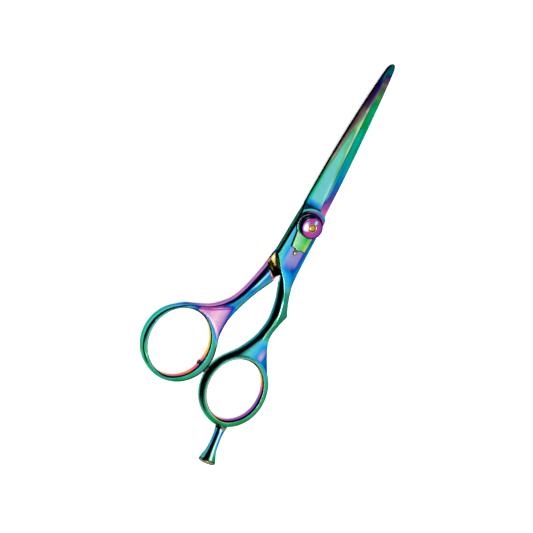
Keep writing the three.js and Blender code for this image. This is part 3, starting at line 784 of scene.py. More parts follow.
def handle_coat(p, n, hole, outer, front, web, wall, inner):
    """Film, tone and veil on a shank and its ring: front face, web, walls and the inside of the ring."""
    x, y, z = p[:, :3].T
    share = ring_share(x, y, hole, outer)
    sideways = ease(np.hypot(n[:, 0], n[:, 1]), 0.72, 0.93)
    film, tone = (blend(blend(f, w, web[2]), s, sideways) for f, w, s in zip(front, web, wall))
    across, up = x - hole[0], y - hole[1]
    away = np.hypot(across, up)
    inward = -(n[:, 0] * across + n[:, 1] * up) / np.maximum(away, 1e-6)
    far_side = ease(-across / hole[2], -0.1, 0.4)
    inside = ease(inward - 0.3 * far_side, 0.35, 0.65) * (share < 0.7) * (away < 1.2 * max(hole[2:]))
    depth = 1 - z / HANDLE_DEPTH
    inner_film = along(bearing(across, up), inner) + 0.12 * fade_out(depth, 0.1, 0.4)
    # painted dark reflection: the inner wall is black at its rounded front rim and bright deeper down
    inner_tone = 0.01 + 0.55 * ease(depth, 0.14, 0.32)
    return blend(film, inner_film, inside), blend(tone, inner_tone, inside), -0.05 * inside


def ring_front(x, y, hole, outer, band):
    """Tone on a ring's front: a band painted black as dark reflection on the outer side, and a painted
    highlight line towards the hole, both darker towards the right.
    """
    share = ring_share(x, y, hole, outer)
    angle = bearing(x - hole[0], y - hole[1]) % 360
    here = ease(angle, band[0] - 20, band[0]) * fade_out(angle, band[1], band[1] + 40)
    dark = ease(share, 0.46, 0.54) * here
    pale = ease(share, 0.05, 0.15) * fade_out(share, 0.26, 0.44)
    to_right = ease(np.cos(np.radians(angle)), 0.1, 0.6)
    return blend(0.30 + 0.34 * pale - to_right * (0.04 + 0.2 * pale), 0.005, dark)


def shank_share(x, y, shank):
    """0 at the left edge of a shank, 1 at its right edge."""
    start, end = edge_x(y, shank[0]), edge_x(y, shank[1])
    return np.clip((x - start) / (end - start), 0, 1)


def finger_wall(y, z, n):
    """Film and tone down the finger half's sides: green, painted dark above as shade and dark reflection,
    and a gold stripe of painted reflection on the heel's painted dark wall.
    """
    leftward = ease(-n[:, 0], 0, 0.4)
    film = blend(0.53, along(y, [(-80, 0.53), (-68, 0.5), (-46, 0.38), (-36, 0.36), (-24, 0.42)]), leftward)
    # painted shade: the sides go dark above these heights
    painted_dark_above = along(y, [(-72, 2.6), (-66, 1.8), (-56, 1.8), (-48, 2.6)])
    shade = ease(z - painted_dark_above, 0.2, 0.7) * leftward * ease(y, -78, -70)
    tone = blend(along(y, [(-60, 0.44), (-48, 0.36), (-20, 0.34)]), 0.005, shade)
    # painted dark reflection on the heel's wall, round a painted gold reflection stripe
    heel = ease(y, -22, -19) * leftward
    stripe = ease(z, 2.8, 3.1) * fade_out(z, 3.4, 3.8) * (y < -15.2) * (y > -18.4)
    return blend(film, 0.71, heel), blend(tone, 0.005 + 0.55 * stripe, heel)


def finger_front_coat(x, y, n):
    """Film and tone on the front of the finger shank and ring: a band painted black as dark reflection on
    the left, a painted highlight, green on the right.
    """
    share = shank_share(x, y, FINGER_SHANK)
    film = along(y, [(-50, 0.4), (-44, 0.45), (-38, 0.51), (-30, 0.51), (-25, 0.47), (-21, 0.38)])
    # a band painted black as dark reflection on the left, then a painted highlight
    tone = along(share, [(0, 0.003), (0.34, 0.003), (0.39, 0.24), (1, 0.18)])
    highlight = along(share, [(0.34, 0), (0.39, 1), (0.44, 1), (0.5, 0)]) * fade_out(y, -29, -26)
    # painted shade under the tang, which also dims the painted highlight there
    shade_under_tang = ease(y, -29, -27) * fade_out(share, 0.5, 0.6)
    tone = (tone + 0.38 * highlight) * (1 - 0.6 * shade_under_tang)
    ring_film = along(y, [(-78, 0.555), (-72, 0.545), (-62, 0.49), (-50, 0.45)])
    ring_film = ring_film + 0.05 * ease(n[:, 0], 0.03, 0.5)
    ring_tone = ring_front(x, y, FINGER_HOLE, FINGER_OUTER, (95, 215))
    on_ring = fade_out(y, -54, -45)
    return blend(film, ring_film, on_ring), blend(tone, ring_tone, on_ring)


def finger_web(x, y):
    """Film and tone on the web over the finger ring, and how much of them shows."""
    lavender = spot((x, 7.5, 1.3), (y, -49, 3))
    film = along(x, [(1, 0.46), (3, 0.4), (4.5, 0.355), (6, 0.31), (8.6, 0.26), (9.6, 0.2), (10.5, 0.16)])
    weight = ease(ring_share(x, y, FINGER_HOLE, FINGER_OUTER), 0.5, 1) * fade_out(y, -45, -41)
    weight = weight * ease(y, -57, -53) * ease(x - 0.45 * (y + 50), 0.6, 2.6)
    return film - 0.24 * lavender, 0.46 + 0.18 * lavender - 0.1 * ease(x, 8.2, 9.6), weight


def tang_coat(x, y):
    """Film and tone on the finger half's tang: cyan, blue and lavender across, and cyan again lower down."""
    film = along(x, [
        (-5.1, 0.38), (-3.6, 0.33), (-2.6, 0.29), (-1.8, 0.22), (-1.3, 0.15), (-0.2, 0.085), (2.9, 0.06),
        (3.8, 0.2), (4.6, 0.24)])
    film += 0.10 * ease(-y, 7, 11) * fade_out(x + 0.36 * (y + 14), -3.9, -2.6)
    tone = along(x, [
        (-5, 0.5), (-2.6, 0.48), (-1.7, 0.6), (-0.4, 0.59), (2.6, 0.57), (3.7, 0.42), (4.6, 0.26)])
    slanted = x + 0.5 * (y + 20)
    slanted_film = along(slanted, [(-1.5, 0.44), (0.2, 0.38), (1.6, 0.29), (3.4, 0.27), (4.6, 0.22)])
    lower = ease(-y - 0.3 * x, 13.5, 20.5)
    return blend(film, slanted_film, lower), blend(tone, 0.44 - 0.18 * ease(slanted, 2.5, 4.4), lower)


def nose_coat(r, angle):
    """Film and tone in rings round the pivot: thin painted dark arcs, and painted shade on the left."""
    film = along(r, [
        (4.7, 0.2), (4.85, 0.12), (5, -0.07), (5.3, -0.08), (5.42, 0.15), (5.6, 0.27), (6.35, 0.3)])
    film = film + 0.19 * ease(angle, 75, 120) * ease(r, 5.4, 5.7)
    tone = along(r, [
        (4.7, 0.3), (4.95, 0.42), (5.25, 0.42), (5.4, 0.03), (5.55, 0.44), (6.1, 0.44), (6.28, 0.03)])
    return film, tone * (1 - ease(angle, 105, 135) * fade_out(r, 5.5, 5.7))


def finger_coat(p, n):
    x, y, z, _ = p.T
    r = np.hypot(x, y)
    film, tone, veil = handle_coat(p, n, FINGER_HOLE, FINGER_OUTER, finger_front_coat(x, y, n),
                                    finger_web(x, y), finger_wall(y, z, n), FINGER_INNER)
    on_tang = ease(y, -26, -22) * fade_out(np.hypot(n[:, 0], n[:, 1]), 0.25, 0.5)
    on_nose = ease(y, 1.6, 3.4) * (r < NOSE + 0.1) * (n[:, 2] > 0.1)
    for patch, weight in ((tang_coat(x, y), on_tang), (nose_coat(r, bearing(x, y)), on_nose)):
        film, tone = blend(film, patch[0], weight), blend(tone, patch[1], weight)
    # painted shadow in the gap round the pin
    pin_shadow = ease(np.hypot(x - PIN[0], y - PIN[1]), PIN_HOLE + 0.02, PIN_HOLE + 0.12)
    tone = np.where((y < -9) & (y > -13), tone * pin_shadow, tone)
    on_blade = (r > NOSE) & (y > 4.5)
    return np.column_stack([np.where(on_blade, *pair) for pair in zip(blade_coat(x, y), (film, tone, veil))])


GOLD_TOP, GOLD_LEFT, GOLD_LOW = (-5.6, -14.05), (-6.2, -17.9), (-3.2, -18.5)   # the bright gold facet


def beyond(x, y, start, end):
    """Distance to the right of the line from start to end, looking along it."""
    run = math.dist(start, end)
    return ((x - start[0]) * (end[1] - start[1]) - (y - start[1]) * (end[0] - start[0])) / run


def heel_marks(x, y, stands):
    """Film and tone of the scooped heel: a bright gold facet with painted highlights, a band painted black
    as dark reflection, then a darker gold band.
    """
    below = beyond(x, y, GOLD_LEFT, GOLD_LOW)
    beside = beyond(x, y, GOLD_LOW, GOLD_TOP)
    facet = fade_out(below, -0.12, 0.08) * fade_out(beside, -0.05, 0.15)
    # painted highlights along the facet's lower lip and on its middle; the rest is painted dark reflection
    lip = spot((below, -0.3, 0.16)) * fade_out(stands, 0.1, 0.3)
    pale = np.minimum(lip + spot((x, -5.2, 0.5), (y, -15.6, 0.8)), 1)
    second = ease(stands, 0.45, 0.7) * ease(below, 0.6, 0.9)
    film = blend(0.745, 0.85, ease(x, -5.8, -4.2) * ease(stands, 0.5, 1.6))
    return film, blend(np.maximum(0.01, facet * (0.48 + 0.4 * pale)), 0.62, second)


def thumb_wall(y, rightward):
    """Film and tone down the thumb half's sides."""
    left_film = along(y, [
        (-72, 1.53), (-58, 1.48), (-50, 1.44), (-46, 1.34), (-43.8, 1.17), (-41.5, 0.96), (-34, 0.965),
        (-17, 0.98), (-14.5, 1.15), (-12.5, 1.42), (-6, 1.47)])
    right_film = along(y, [(-72, 1.54), (-52, 1.52), (-46, 1.25), (-20, 1.42)])
    left_tone = along(y, [(-60, 0.42), (-46, 0.42), (-42, 0.58), (-17, 0.56), (-13, 0.22)])
    return blend(left_film, right_film, rightward), blend(left_tone, 0.34, rightward)


def thumb_front_coat(x, y, rightward):
    """Film and tone on the front of the thumb shank and ring: a band painted black as dark reflection, a
    painted highlight, then blue and teal.
    """
    share = shank_share(x, y, THUMB_SHANK)
    over_web = fade_out(x, -14.5, -11)
    film = along(share, [(0.3, 1.3), (0.45, 1.28), (0.62, 1.27), (0.76, 1.36), (0.88, 1.42), (1, 1.46)])
    film = blend(film, 0.98, over_web * (share < 0.31))
    # a band painted black as dark reflection on the left, then a painted highlight
    tone = along(share, [(0, 0.003), (0.29, 0.003), (0.34, 0.32), (0.42, 0.36), (0.62, 0.3), (1, 0.22)])
    tone = blend(tone, np.maximum(tone, 0.4), over_web)
    # a painted highlight higher up the shank
    tone += 0.32 * ease(y, -34, -26) * ease(share, 0.29, 0.35) * fade_out(share, 0.4, 0.5)
    ring_film = along(y, [(-72, 1.54), (-58, 1.47), (-46, 1.42)]) + 0.05 * rightward
    ring_tone = ring_front(x, y, THUMB_HOLE, THUMB_OUTER, (120, 192))
    on_ring = fade_out(y, -46, -40)
    return blend(film, ring_film, on_ring), blend(tone, ring_tone, on_ring)


def thumb_web(x, y):
    """Film and tone on the rose web beside the thumb ring, and how much of them shows."""
    ring = ring_share(x, y, THUMB_HOLE, THUMB_OUTER)
    over_line = y - along(x, WEB_LINE)
    film = along(x, [(-18, 0.965), (-14, 0.945), (-12, 0.96), (-10.9, 0.99), (-10.1, 1.12), (-9.4, 1.27)])
    tone = along(x, [(-18, 0.58), (-14, 0.66), (-12, 0.6), (-10.8, 0.54), (-9.4, 0.42)])
    tone = tone * (1 - 0.35 * spot((over_line, 0, 0.25)))
    tone = tone + 0.12 * ease(ring, 0.3, 0.5) * fade_out(ring, 0.9, 1.3)
    weight = ease(ring, 0.45, 0.8) * ease(y, -54, -50) * fade_out(over_line, 0.2, 1.4)
    return film, tone, weight * ease(x, -23, -20)


def thumb_coat(p, n):
    x, y, _, on_front = p.T
    rightward = ease(n[:, 0], 0.03, 0.5)
    film, tone, veil = handle_coat(p, n, THUMB_HOLE, THUMB_OUTER, thumb_front_coat(x, y, rightward),
                                    thumb_web(x, y), thumb_wall(y, rightward), THUMB_INNER)
    stands, *_ = scoop(p[:, :2], THUMB_CREST)
    heel = (on_front > 0) & (y > -25) & (y < 6) & (stands < FRONT_INNER - 0.03)
    down = ease(-y, 12.4, 12.9)
    mark_film, mark_tone = heel_marks(x, y, stands)
    film = np.where(heel, np.where(down > 0.5, mark_film, 0.45), film)
    tone = np.where(heel, blend(0.24, mark_tone, down), tone)
    warm = spot((beyond(x, y, *THUMB_CREST), 0.15, 0.5)) * ease(x, -4.9, -3.9) * (y < -19) * on_front
    film = np.where(warm > 0.35, 0.80 + 0.07 * ease(x, -4.2, -2.6), film)
    tone = blend(tone, 0.54, ease(warm, 0.2, 0.5))
    on_blade = y > 6
    film = np.where(on_blade, 0.42 - 0.2 * ease(y, 20, 60) + 0.022 * x, film)
    return np.c_[film, np.where(on_blade, 0.4, tone), veil]


# --- materials
class Tree:
    """A node tree, with shorter ways to add to it. Inputs are values, or outputs to link from."""

    def __init__(self, owner):
        owner.use_nodes = True
        self.nodes = owner.node_tree.nodes
        self.links = owner.node_tree.links

    def feed(self, node, inputs):
        for key, value in inputs.items():
            if isinstance(value, bpy.types.NodeSocket):
                self.links.new(value, node.inputs[key])
            else:
                node.inputs[key].default_value = value

    def add(self, kind, inputs, **settings):
        node = self.nodes.new("ShaderNode" + kind)
        for name, value in settings.items():
            setattr(node, name, value)
        self.feed(node, inputs)
        return node

    def noise(self, scale, detail=3.0, stretch=(1, 1, 1)):
        """Noise in object space, finer along the axes that stretch says."""
        place = self.add("TexCoord", {}).outputs["Object"]
        mapped = self.add("Mapping", {"Vector": place, "Scale": stretch}).outputs["Vector"]
        return self.add("TexNoise", {"Vector": mapped, "Scale": scale, "Detail": detail}).outputs["Fac"]

    def remap(self, value, low, high, from_low=0.3, from_high=0.7):
        return self.add("MapRange", {
            "Value": value, "From Min": from_low, "From Max": from_high,
            "To Min": low, "To Max": high}).outputs["Result"]

    def calculate(self, operation, first, second=0.0):
        return self.add("Math", {0: first, 1: second}, operation=operation).outputs[0]

    def mix(self, first, second, factor):
        made = self.add("Mix", {}, data_type="RGBA")
        self.feed(made, {"A": first, "B": second, "Factor": factor})
        return made.outputs["Result"]

    def bump(self, height, strength, distance):
        made = self.add("Bump", {"Height": height, "Strength": strength, "Distance": distance})
        return made.outputs["Normal"]


def new_material(name):
    material = bpy.data.materials.new(name)
    tree = Tree(material)
    return material, tree, tree.nodes["Principled BSDF"]


def colour_cycle(tree, film):
    """The coat's colour at a film value, from the cycle's table."""
    ramp = tree.add("ValToRGB", {"Fac": tree.calculate("FRACT", film)})
    stops = ramp.color_ramp.elements
    while len(stops) < len(CYCLE):
        stops.new(0.5)
    for stop, (place, colour) in zip(stops, CYCLE):
        stop.position = place
        stop.color = (*colour, 1)
    return ramp.outputs["Color"]


def rainbow_steel(name, rough=(0.1, 0.17), wander=0.035, grain=(1, 1, 1)):
    """Polished steel under a titanium coat whose colour follows the mesh's own film, tone and veil."""
    material, tree, shader = new_material(name)
    coat = tree.add("Attribute", {}, attribute_name="coat").outputs["Color"]
    film, tone, veil = tree.add("SeparateColor", {"Color": coat}).outputs
    drift = tree.remap(tree.noise(160, 2), -wander, wander)
    colour = colour_cycle(tree, tree.calculate("ADD", film, drift))
    # tone mixes painted shade and dark reflections in towards black, and painted highlights in towards white
    dark = tree.mix(PAINTED_DARK, colour, tree.remap(tone, 0, 1, 0, 0.5))
    pale = tree.mix(dark, PAINTED_WHITE, tree.remap(tone, 0, 1, 0.5, 1))
    saturation = tree.calculate("SUBTRACT", 1, veil)
    seen = tree.add("HueSaturation", {"Saturation": saturation, "Color": pale}).outputs["Color"]
    tree.feed(shader, {
        "Base Color": seen,
        "Specular Tint": tree.mix(seen, (1, 1, 1, 1), tree.remap(tone, 0, GRAZING_WHITE, 0, 0.4)),
        "Metallic": 1,
        "Roughness": tree.remap(tree.noise(900, 4), *rough),
        "Normal": tree.bump(tree.noise(2500, 3, grain), 0.05, 0.02 * MM)})
    return material


def mottled(name, low, high, rough, metallic=1.0, bump=0.1):
    """A bare or blackened metal, a plastic or a rubber, mottled between two close colours."""
    material, tree, shader = new_material(name)
    tree.feed(shader, {
        "Base Color": tree.mix((*low, 1), (*high, 1), tree.noise(700, 4)),
        "Metallic": metallic,
        "Roughness": tree.remap(tree.noise(1100, 3), *rough),
        "Normal": tree.bump(tree.noise(3000, 4), bump, 0.03 * MM)})
    return material


# --- making small pieces
def keep(piece, node, body, material):
    """Stands the piece for its CAD node."""
    piece.data.materials.append(material)
    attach(piece, body)
    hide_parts(node)


def mesh_piece(name, verts, faces, angle=35):
    mesh = bpy.data.meshes.new(name)
    mesh.from_pydata([tuple(v) for v in verts], [], faces)
    smooth_but_sharp(mesh, angle)
    return linked(name, mesh)


def smooth_but_sharp(mesh, angle=35):
    mesh.polygons.foreach_set("use_smooth", [True] * len(mesh.polygons))
    mesh.set_sharp_from_angle(angle=math.radians(angle))
    mesh.update()


def rounded(profile, radius, steps=5):
    """A profile of (radius, height) points with its inner corners rounded."""
    out = [profile[0]]
    for a, b, c in zip(profile[:-2], profile[1:-1], profile[2:]):
        a, b, c = Vector(a), Vector(b), Vector(c)
        back, on = a - b, c - b
        r = min(radius, 0.45 * back.length, 0.45 * on.length)
        start, end = b + back.normalized() * r, b + on.normalized() * r
        for i in range(steps + 1):
            t = i / steps
            out.append(tuple(start * (1 - t) ** 2 + b * 2 * t * (1 - t) + end * t * t))
    out.append(profile[-1])
    return out


def lathe(name, profile, place=(0, 0, 0), aim=(0, 0, 1), sides=96, angle=35, wobble=None):
    """A piece turned about its own axis. The profile runs up the outside from the axis back to the axis,
    or closes on itself. wobble(angle, radius, height) may change a radius, for grips and flats."""
    turn = Vector((0, 0, 1)).rotation_difference(Vector(aim).normalized()).to_matrix()
    closed = profile[0][0] > 1e-6
    rows, verts, faces = [], [], []
    for radius, height in profile:
        on_axis = radius < 1e-6
        rows.append(range(len(verts), len(verts) + (1 if on_axis else sides)))
        for i in range(len(rows[-1])):
            a = 2 * math.pi * i / sides
            r = wobble(a, radius, height) if wobble and not on_axis else radius
            verts.append((Vector(place) + turn @ Vector((r * math.cos(a), r * math.sin(a), height))) * MM)
    for low, high in zip(rows, rows[1:] + rows[:1] if closed else rows[1:]):
        for i in range(sides):
            j = (i + 1) % sides
            if len(low) == 1:
                faces.append((low[0], high[j], high[i]))
            elif len(high) == 1:
                faces.append((low[i], low[j], high[0]))
            else:
                faces.append((low[i], low[j], high[j], high[i]))
    return mesh_piece(name, verts, faces, angle)


def cut_with(piece, tools):
    """Cuts the tools out of the piece, and throws them away."""
    for tool in tools:
        cutter = piece.modifiers.new("cut", "BOOLEAN")
        cutter.operation, cutter.solver, cutter.object = "DIFFERENCE", "EXACT", tool
    bpy.context.view_layer.update()
    graph = bpy.context.evaluated_depsgraph_get()
    mesh = bpy.data.meshes.new_from_object(piece.evaluated_get(graph))
    piece.modifiers.clear()
    piece.data = mesh
    for tool in tools:
        bpy.data.objects.remove(tool)
    smooth_but_sharp(mesh)


def store_coat(mesh, values):
    layer = mesh.attributes.new("coat", "FLOAT_COLOR", "CORNER")
    filled = np.zeros((len(values), 4), np.float32)
    filled[:, :values.shape[1]] = values
    filled[:, 3] = 1
    layer.data.foreach_set("color", filled.ravel())


def paint(piece, coat):
    """Writes what coat(points, normals) gives at each face corner."""
    mesh = piece.data
    index = np.zeros(len(mesh.loops), np.int64)
    mesh.loops.foreach_get("vertex_index", index)
    co = np.zeros(len(mesh.vertices) * 3)
    mesh.vertices.foreach_get("co", co)
    normals = np.zeros(len(mesh.loops) * 3)
    mesh.corner_normals.foreach_get("vector", normals)
    store_coat(mesh, coat(co.reshape(-1, 3)[index] / MM, normals.reshape(-1, 3)))
    return piece


def one_coat(film, tone):
    return lambda p, n: np.tile((film, tone), (len(p), 1))


# --- the two halves
def build_halves():
    material = rainbow_steel("rainbow_titanium", grain=(1, 0.15, 1))
    finger = relief_plate("plain_blade_half", finger_outline(), finger_front, finger_back,
                          finger_creases(), finger_coat)
    keep(finger, "finger_half", "finger_side", material)
    thumb = relief_plate("toothed_blade_half", thumb_outline(), thumb_front, thumb_back,
                         thumb_creases(), thumb_coat)
    keep(thumb, "thumb_half", "thumb_side", material)
    profile = rounded([(0, -1.9), (2.3, -1.9), (2.2, -1.1), (2.08, -0.6), (2.05, 0), (0, 0)], 0.2)
    boss = paint(lathe("finger_rest_boss", profile, REST_FOOT, REST_AIM), one_coat(0.5, 0.14))
    boss.data.materials.append(material)
    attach(boss, "finger_side")


# --- the pivot
DIAL_RADIUS, DIAL_EDGE, DIAL_CROWN, DIAL_BORE = 4.1, 8.2, 1.5, 1.2


def dial_coat(p, n):
    """The dial: violet, with its rim and skirt painted dark as dark reflection, painted highlights and
    reflections, and green where it meets the lock screw.
    """
    x, y, z = p.T
    r = np.hypot(x, y)
    angle = bearing(x, y) % 360
    film = along(r, [(0, 0.7), (1.25, 0.7), (1.5, 0.95), (2.2, 0.982), (3, 0.985), (3.8, 1), (4.1, 1.1)])
    tone = along(r, [(0, 0.1), (1.2, 0.1), (1.4, 0.4), (2.4, 0.49), (3.3, 0.44), (3.75, 0.1), (4.1, 0.01)])
    # a painted highlight, a painted reflection patch, a painted glint on the rim and a painted reflection
    # crescent on the skirt
    shine = spot((x, -2.4, 0.8), (y, -0.5, 1.5)) * (r < 3.7)
    patch = ease(spot((x, 0.35, 0.6), (y, 2.2, 1)), 0.2, 0.7)
    glint = spot((angle, 142, 11), (r, 3.72, 0.3))
    reflected_crescent = spot((angle, 185, 26)) * fade_out(z, 6.5, 7.2)
    tone = tone + 0.4 * shine + 0.08 * patch + 0.75 * glint
    top = z > 8.0
    return np.c_[np.where(top, blend(film, 1.5, patch), 1.36), np.where(top, tone, 0.004 + 0.3 * reflected_crescent),
                 np.where(top, 0.5 * patch + 0.6 * glint, 0.6)]


def build_dial():
    profile = [(1.52, 6.25), (3.85, 6.25), (DIAL_RADIUS, 6.5)]
    profile += [(DIAL_RADIUS, height) for height in (6.85, 7.2, 7.5, 7.8, DIAL_EDGE)]
    for i in range(1, 20):
        a = i / 20 * 0.5 * math.pi
        if DIAL_RADIUS * math.cos(a) > DIAL_BORE + 0.15:
            profile.append((DIAL_RADIUS * math.cos(a), DIAL_EDGE + DIAL_CROWN * math.sin(a)))
    rim = DIAL_EDGE + DIAL_CROWN * math.sqrt(1 - ((DIAL_BORE + 0.05) / DIAL_RADIUS) ** 2)
    profile += [(DIAL_BORE + 0.1, rim - 0.02), (DIAL_BORE, rim - 0.12), (DIAL_BORE, 8.6), (0.85, 8.6),
                (0.85, 8.25), (1.52, 8.25)]
    dial = paint(lathe("tension_dial", profile, sides=128, angle=50), dial_coat)
    keep(dial, "tension_knob", "dial", rainbow_steel("dial_titanium", rough=(0.08, 0.16)))


def build_gold_pieces():
    gold = mottled("gold_titanium", (0.22, 0.17, 0.03), (0.34, 0.27, 0.06), (0.14, 0.28))
    profile = [(0, 7), (0.68, 7), (0.68, 9.15), (1, 9.15), (1, 9.42), (0.6, 9.5), (0, 9.5)]
    lock = lathe("dial_lock_screw", rounded(profile, 0.08), sides=64)
    cut_slot(lock, 0.3, 2.4, 9.3, 9.8)
    keep(lock, "knob_lock_screw", "finger_side", gold)
    profile = [(0, 3.1), (0.72, 3.1), (0.72, 5.35), (0.68, 5.44), (0.56, 5.54), (0.3, 5.59), (0, 5.6)]
    keep(lathe("locating_pin", profile, (*PIN, 0), sides=64), "leaf_pin", "finger_side", gold)


def cut_slot(screw, width, length, low, high):
    corners = [Vector((sx * length / 2, sy * width / 2, z)) * MM for z in (low, high)
               for sx, sy in ((-1, -1), (1, -1), (1, 1), (-1, 1))]
    faces = [(3, 2, 1, 0), (4, 5, 6, 7)] + [(i, (i + 1) % 4, (i + 1) % 4 + 4, i + 4) for i in range(4)]
    cut_with(screw, [mesh_piece("slot_tool", corners, faces)])


LEAF_LOW, LEAF_TOP = 5.05, 5.8


def leaf_outline():
    eye = arc((0, 0, 4.75, 4.75), -46, 226)
    tail = [tuple(eye[-1]), (-2.4, -9.35), (-0.85, -9.35), (-0.75, -9.8), (1, -9.8), (1.1, -9.35),
            (3, -9.35), tuple(eye[0])]
    stretches = [resample(tail[:2]), resample(tail[1:3]), resample(tail[2:6], 0.15), resample(tail[5:7]),
                 resample(tail[6:])]
    return Outline([[Run(points, (0.32, 0.6)) for points in (eye, *stretches)], bore(FINGER_BORE, 60)])


def leaf_coat(p, n):
    """The leaf plate: green, yellower on its right, painted shade round the dial and down its sides, and
    a thin painted reflection near the dial.
    """
    x, y = p[:, 0], p[:, 1]
    film = 0.575 + 0.02 * ease(-y, 3, 9) + 0.06 * ease(x, 1, 3) + 0.03 * ease(-x, 0.5, 2.5)
    tone = along(x, [(-4, 0.62), (-1.5, 0.6), (0.8, 0.52), (2, 0.48), (2.8, 0.46)])
    # painted shade round the dial, and a thin painted reflection near the eye's edge
    above = ease(y, -3.4, -1.6)
    reflected_sliver = spot((np.hypot(x, y), 4.45, 0.14)) * ease(-x, 1.5, 3) * above
    film, tone = blend(film, 0.42, above), blend(tone, 0.02, above) + 0.4 * reflected_sliver
    # painted shade down the side walls
    side = ease(-n[:, 0] + 0.5 * np.abs(n[:, 1]), 0.1, 0.5)
    return np.c_[blend(film, 0.45, side), blend(tone, 0.005, side), 0.8 * reflected_sliver - 0.2]


def build_leaf():
    leaf = relief_plate("leaf_plate", leaf_outline(), lambda p: np.full(len(p), LEAF_TOP),
                        lambda p: np.full(len(p), LEAF_LOW), [], leaf_coat)
    metal = rainbow_steel("leaf_titanium", rough=(0.16, 0.28), wander=0.02, grain=(0.2, 1, 1))
    keep(leaf, "leaf_spring", "finger_side", metal)


def neck_flats(angle, radius, height):
    """Narrows the pivot screw's neck to two flats."""
    if height < 3.2 or radius < 1.5:
        return radius
    return min(radius, 1.5 / max(abs(math.sin(angle)), 1e-6))


def build_pivot_screw():
    profile = [(0, 0), (3.4, 0), (3.6, 0.2), (3.6, 0.9), (2, 0.9), (2, 5.75), (1.45, 5.75), (1.45, 7.9),
               (1.35, 8), (0.76, 8), (0.76, 6.9), (0, 6.9)]
    screw = lathe("pivot_screw_turned", rounded(profile, 0.08, 3), wobble=neck_flats)
    hole = [(0, -1), (0.5, -1), (0.5, 0.45), (0.35, 0.55), (0, 0.55)]
    cut_with(screw, [lathe("key_hole", hole, (x, 0, 0), sides=40) for x in (-2.2, 2.2)])
    metal = rainbow_steel("screw_titanium", rough=(0.12, 0.2))
    keep(paint(screw, one_coat(0.24, 0.5)), "pivot_screw", "finger_side", metal)


def washer(name, inner, outer, low, high, rounding=0.08):
    return lathe(name, rounded([(inner, low), (outer, low), (outer, high), (inner, high)], rounding))


def bright_steel(name):
    return mottled(name, (0.42, 0.44, 0.48), (0.6, 0.62, 0.65), (0.18, 0.3))


def build_spring_washer():
    spring = washer("spring_washer", 2.2, 3.4, 5.85, 6.15, 0.05)
    keep(spring, "wave_washer", "finger_side", bright_steel("spring_metal"))


def build_slides():
    """The bush, and the washers on both sides of the thumb half."""
    bronze = mottled("bush_bronze", (0.42, 0.22, 0.07), (0.55, 0.32, 0.12), (0.25, 0.4))
    bush = washer("pivot_bush", 2.07, 2.7, 1.31, 2.45)
    keep(bush, "pivot_bushing", "thumb_side", bronze)
    nylon = mottled("washer_nylon", (0.68, 0.66, 0.58), (0.76, 0.74, 0.66), (0.4, 0.55), metallic=0.0)
    rear = washer("rear_slide_washer", 2.07, 3.6, 0.96, 1.19, 0.05)
    keep(rear, "rear_washer", "thumb_side", nylon)
    between = washer("blade_slide_washer", 2.07, 3.5, 2.5, 3)
    keep(between, "blade_washer", "finger_side", nylon)


# --- the bumper and the finger rest
def build_bumper():
    line = (math.cos(BUMPER_ANGLE), math.sin(BUMPER_ANGLE), 0)
    centre = (*THUMB_HOLE[:2], HANDLE_DEPTH / 2)
    rubber = mottled("bumper_rubber", (0.012, 0.011, 0.013), (0.028, 0.026, 0.03), (0.55, 0.75), 0, 0.3)
    profile = rounded([(0, 13.6), (1.5, 13.6), (1.5, 14.6), (1.2, 14.92), (0.7, 15), (0, 15.02)], 0.2)
    cap = lathe("rubber_stop", profile, centre, line, sides=64)
    keep(cap, "bumper", "thumb_side", rubber)
    black = mottled("blackened_steel", (0.015, 0.017, 0.02), (0.04, 0.045, 0.05), (0.25, 0.4))
    profile = [(0, 10.15), (0.63, 10.15), (0.9, 10.4), (0.9, 10.75), (0.6, 10.75), (0.6, 14.4), (0, 14.4)]
    screw = lathe("rubber_stop_screw", rounded(profile, 0.08), centre, line, sides=64)
    keep(screw, "bumper_screw", "thumb_side", black)


def rest_coat(p, n):
    """Blue turning to green down the stem, a painted dark reflection line down its left beside a painted
    highlight, and a gold-grey rim with a painted dark band.
    """
    down = (p - np.array(REST_FOOT)) @ np.array(Vector(REST_AIM).normalized())
    left = -n[:, 0]
    right_film = along(down, [(0, 0.27), (6, 0.31), (9, 0.36), (10.8, 0.52), (12.4, 0.58)])
    left_film = along(down, [(0, 0.32), (6, 0.34), (12.4, 0.4)])
    film = blend(right_film, left_film, ease(left, 0, 0.2))
    # a painted highlight along the stem's crown
    tone = along(-left, [
        (-1, 0.24), (-0.6, 0.3), (-0.1, 0.6), (0, 0.8), (0.14, 0.76), (0.3, 0.4), (0.6, 0.28)])
    # a line painted black as dark reflection down the left
    tone = blend(tone, 0.004, ease(left, 0.1, 0.2) * fade_out(left, 0.6, 0.72) * (n[:, 2] > 0))
    ends = np.maximum(fade_out(down, 0.8, 1.1), ease(down, 12.9, 13.1))
    tone = blend(tone, 0.16 * ease(0.1 * down - left, -0.3, 0.1), ends)
    # a painted dark band round the rim
    tone = tone * (1 - 0.9 * ease(down, 12.6, 12.75) * fade_out(down, 12.95, 13.1))
    return np.c_[blend(film, 0.73, ends), tone, 0.5 * ends]


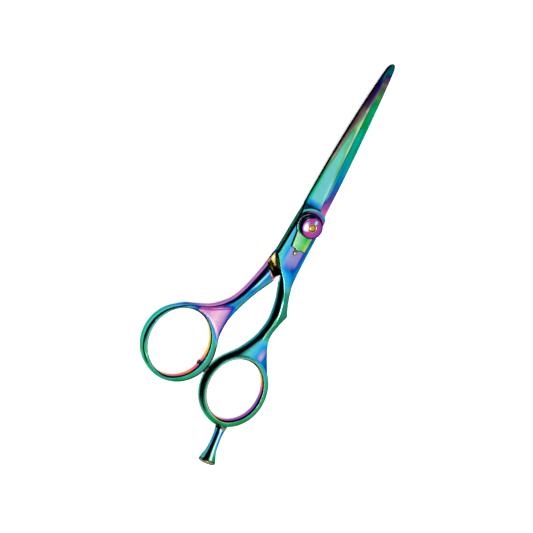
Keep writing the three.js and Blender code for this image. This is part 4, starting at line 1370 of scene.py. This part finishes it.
def build_rest():
    """The flared rest and its stud, along the rest's own axis from its foot."""
    stem = catmull([(2.1, 0.06), (1.85, 0.9), (1.68, 2.2), (1.62, 4.2), (1.68, 6.2), (1.85, 8.2), (2.2, 10),
                    (2.75, 11.6), (3.1, 12.9), (3.05, 13.45), (2.4, 13.82)], 0.25)
    profile = [(0, 0.06), *map(tuple, stem), (2.1, 13.94), (1.6, 14.02), (0, 14.07)]
    rest = paint(lathe("screwed_finger_rest", profile, REST_FOOT, REST_AIM, sides=112), rest_coat)
    keep(rest, "finger_rest", "rest", rainbow_steel("rest_titanium", rough=(0.1, 0.18)))
    profile = rounded([(0, -2), (0.95, -2), (0.95, 5), (0, 5)], 0.15)
    stud = lathe("rest_stud", profile, REST_FOOT, REST_AIM, sides=64)
    keep(stud, "finger_rest_stud", "rest", bright_steel("stud_steel"))


# --- floor and light
FLOOR_SIZE, FLOOR_DROP = 3, 0.05 * MM


def build_floor():
    verts = [(x * FLOOR_SIZE, y * FLOOR_SIZE, -FLOOR_DROP) for x, y in ((-1, -1), (1, -1), (1, 1), (-1, 1))]
    floor = mesh_piece("floor", verts, [(0, 1, 2, 3)])
    material, tree, shader = new_material("pale_floor")
    tree.feed(shader, {
        "Base Color": (0.93, 0.93, 0.93, 1),
        "Emission Color": (1, 1, 1, 1),
        "Emission Strength": 0.22,
        "Roughness": tree.remap(tree.noise(30), 0.85, 0.95)})
    floor.data.materials.append(material)


STUDIO_LIGHT = 1.5


def build_world():
    """A white studio that shines evenly, with a dark flag low on the left that only reflections see."""
    world = bpy.data.worlds.new("studio")
    bpy.context.scene.world = world
    tree = Tree(world)
    seen_from = tree.add("TexCoord", {}).outputs["Generated"]

    def towards(direction):
        inputs = {0: seen_from, 1: Vector(direction).normalized()}
        return tree.add("VectorMath", inputs, operation="DOT_PRODUCT").outputs["Value"]

    low = tree.remap(towards((0, 0, 1)), 1, 0, 0.6, 0.76)
    left = tree.remap(towards((-1, 0.2, 0)), 0, 1, -0.05, 0.25)
    mirrored = tree.add("LightPath", {}).outputs["Is Glossy Ray"]
    flag = tree.calculate("MULTIPLY", tree.calculate("MULTIPLY", low, left), mirrored)
    light = tree.calculate("MULTIPLY", tree.calculate("SUBTRACT", 1, flag), STUDIO_LIGHT)
    tree.feed(tree.nodes["Background"], {"Strength": light, "Color": (1, 1, 1, 1)})


def softbox(name, direction, distance, size, strength):
    data = bpy.data.lights.new(name, "AREA")
    data.shape, data.size, data.energy = "DISK", size, strength
    lamp = linked(name, data)
    toward = Vector(direction).normalized()
    lamp.location = toward * distance
    lamp.rotation_mode = "QUATERNION"
    lamp.rotation_quaternion = toward.to_track_quat("Z", "Y")


build_halves()
build_dial()
build_gold_pieces()
build_leaf()
build_spring_washer()
build_pivot_screw()
build_slides()
build_bumper()
build_rest()
build_floor()
build_world()
softbox("key_softbox", (-0.04, -0.25, 0.97), distance=0.8, size=0.26, strength=3.2)
bpy.context.scene.view_settings.view_transform = "Standard"
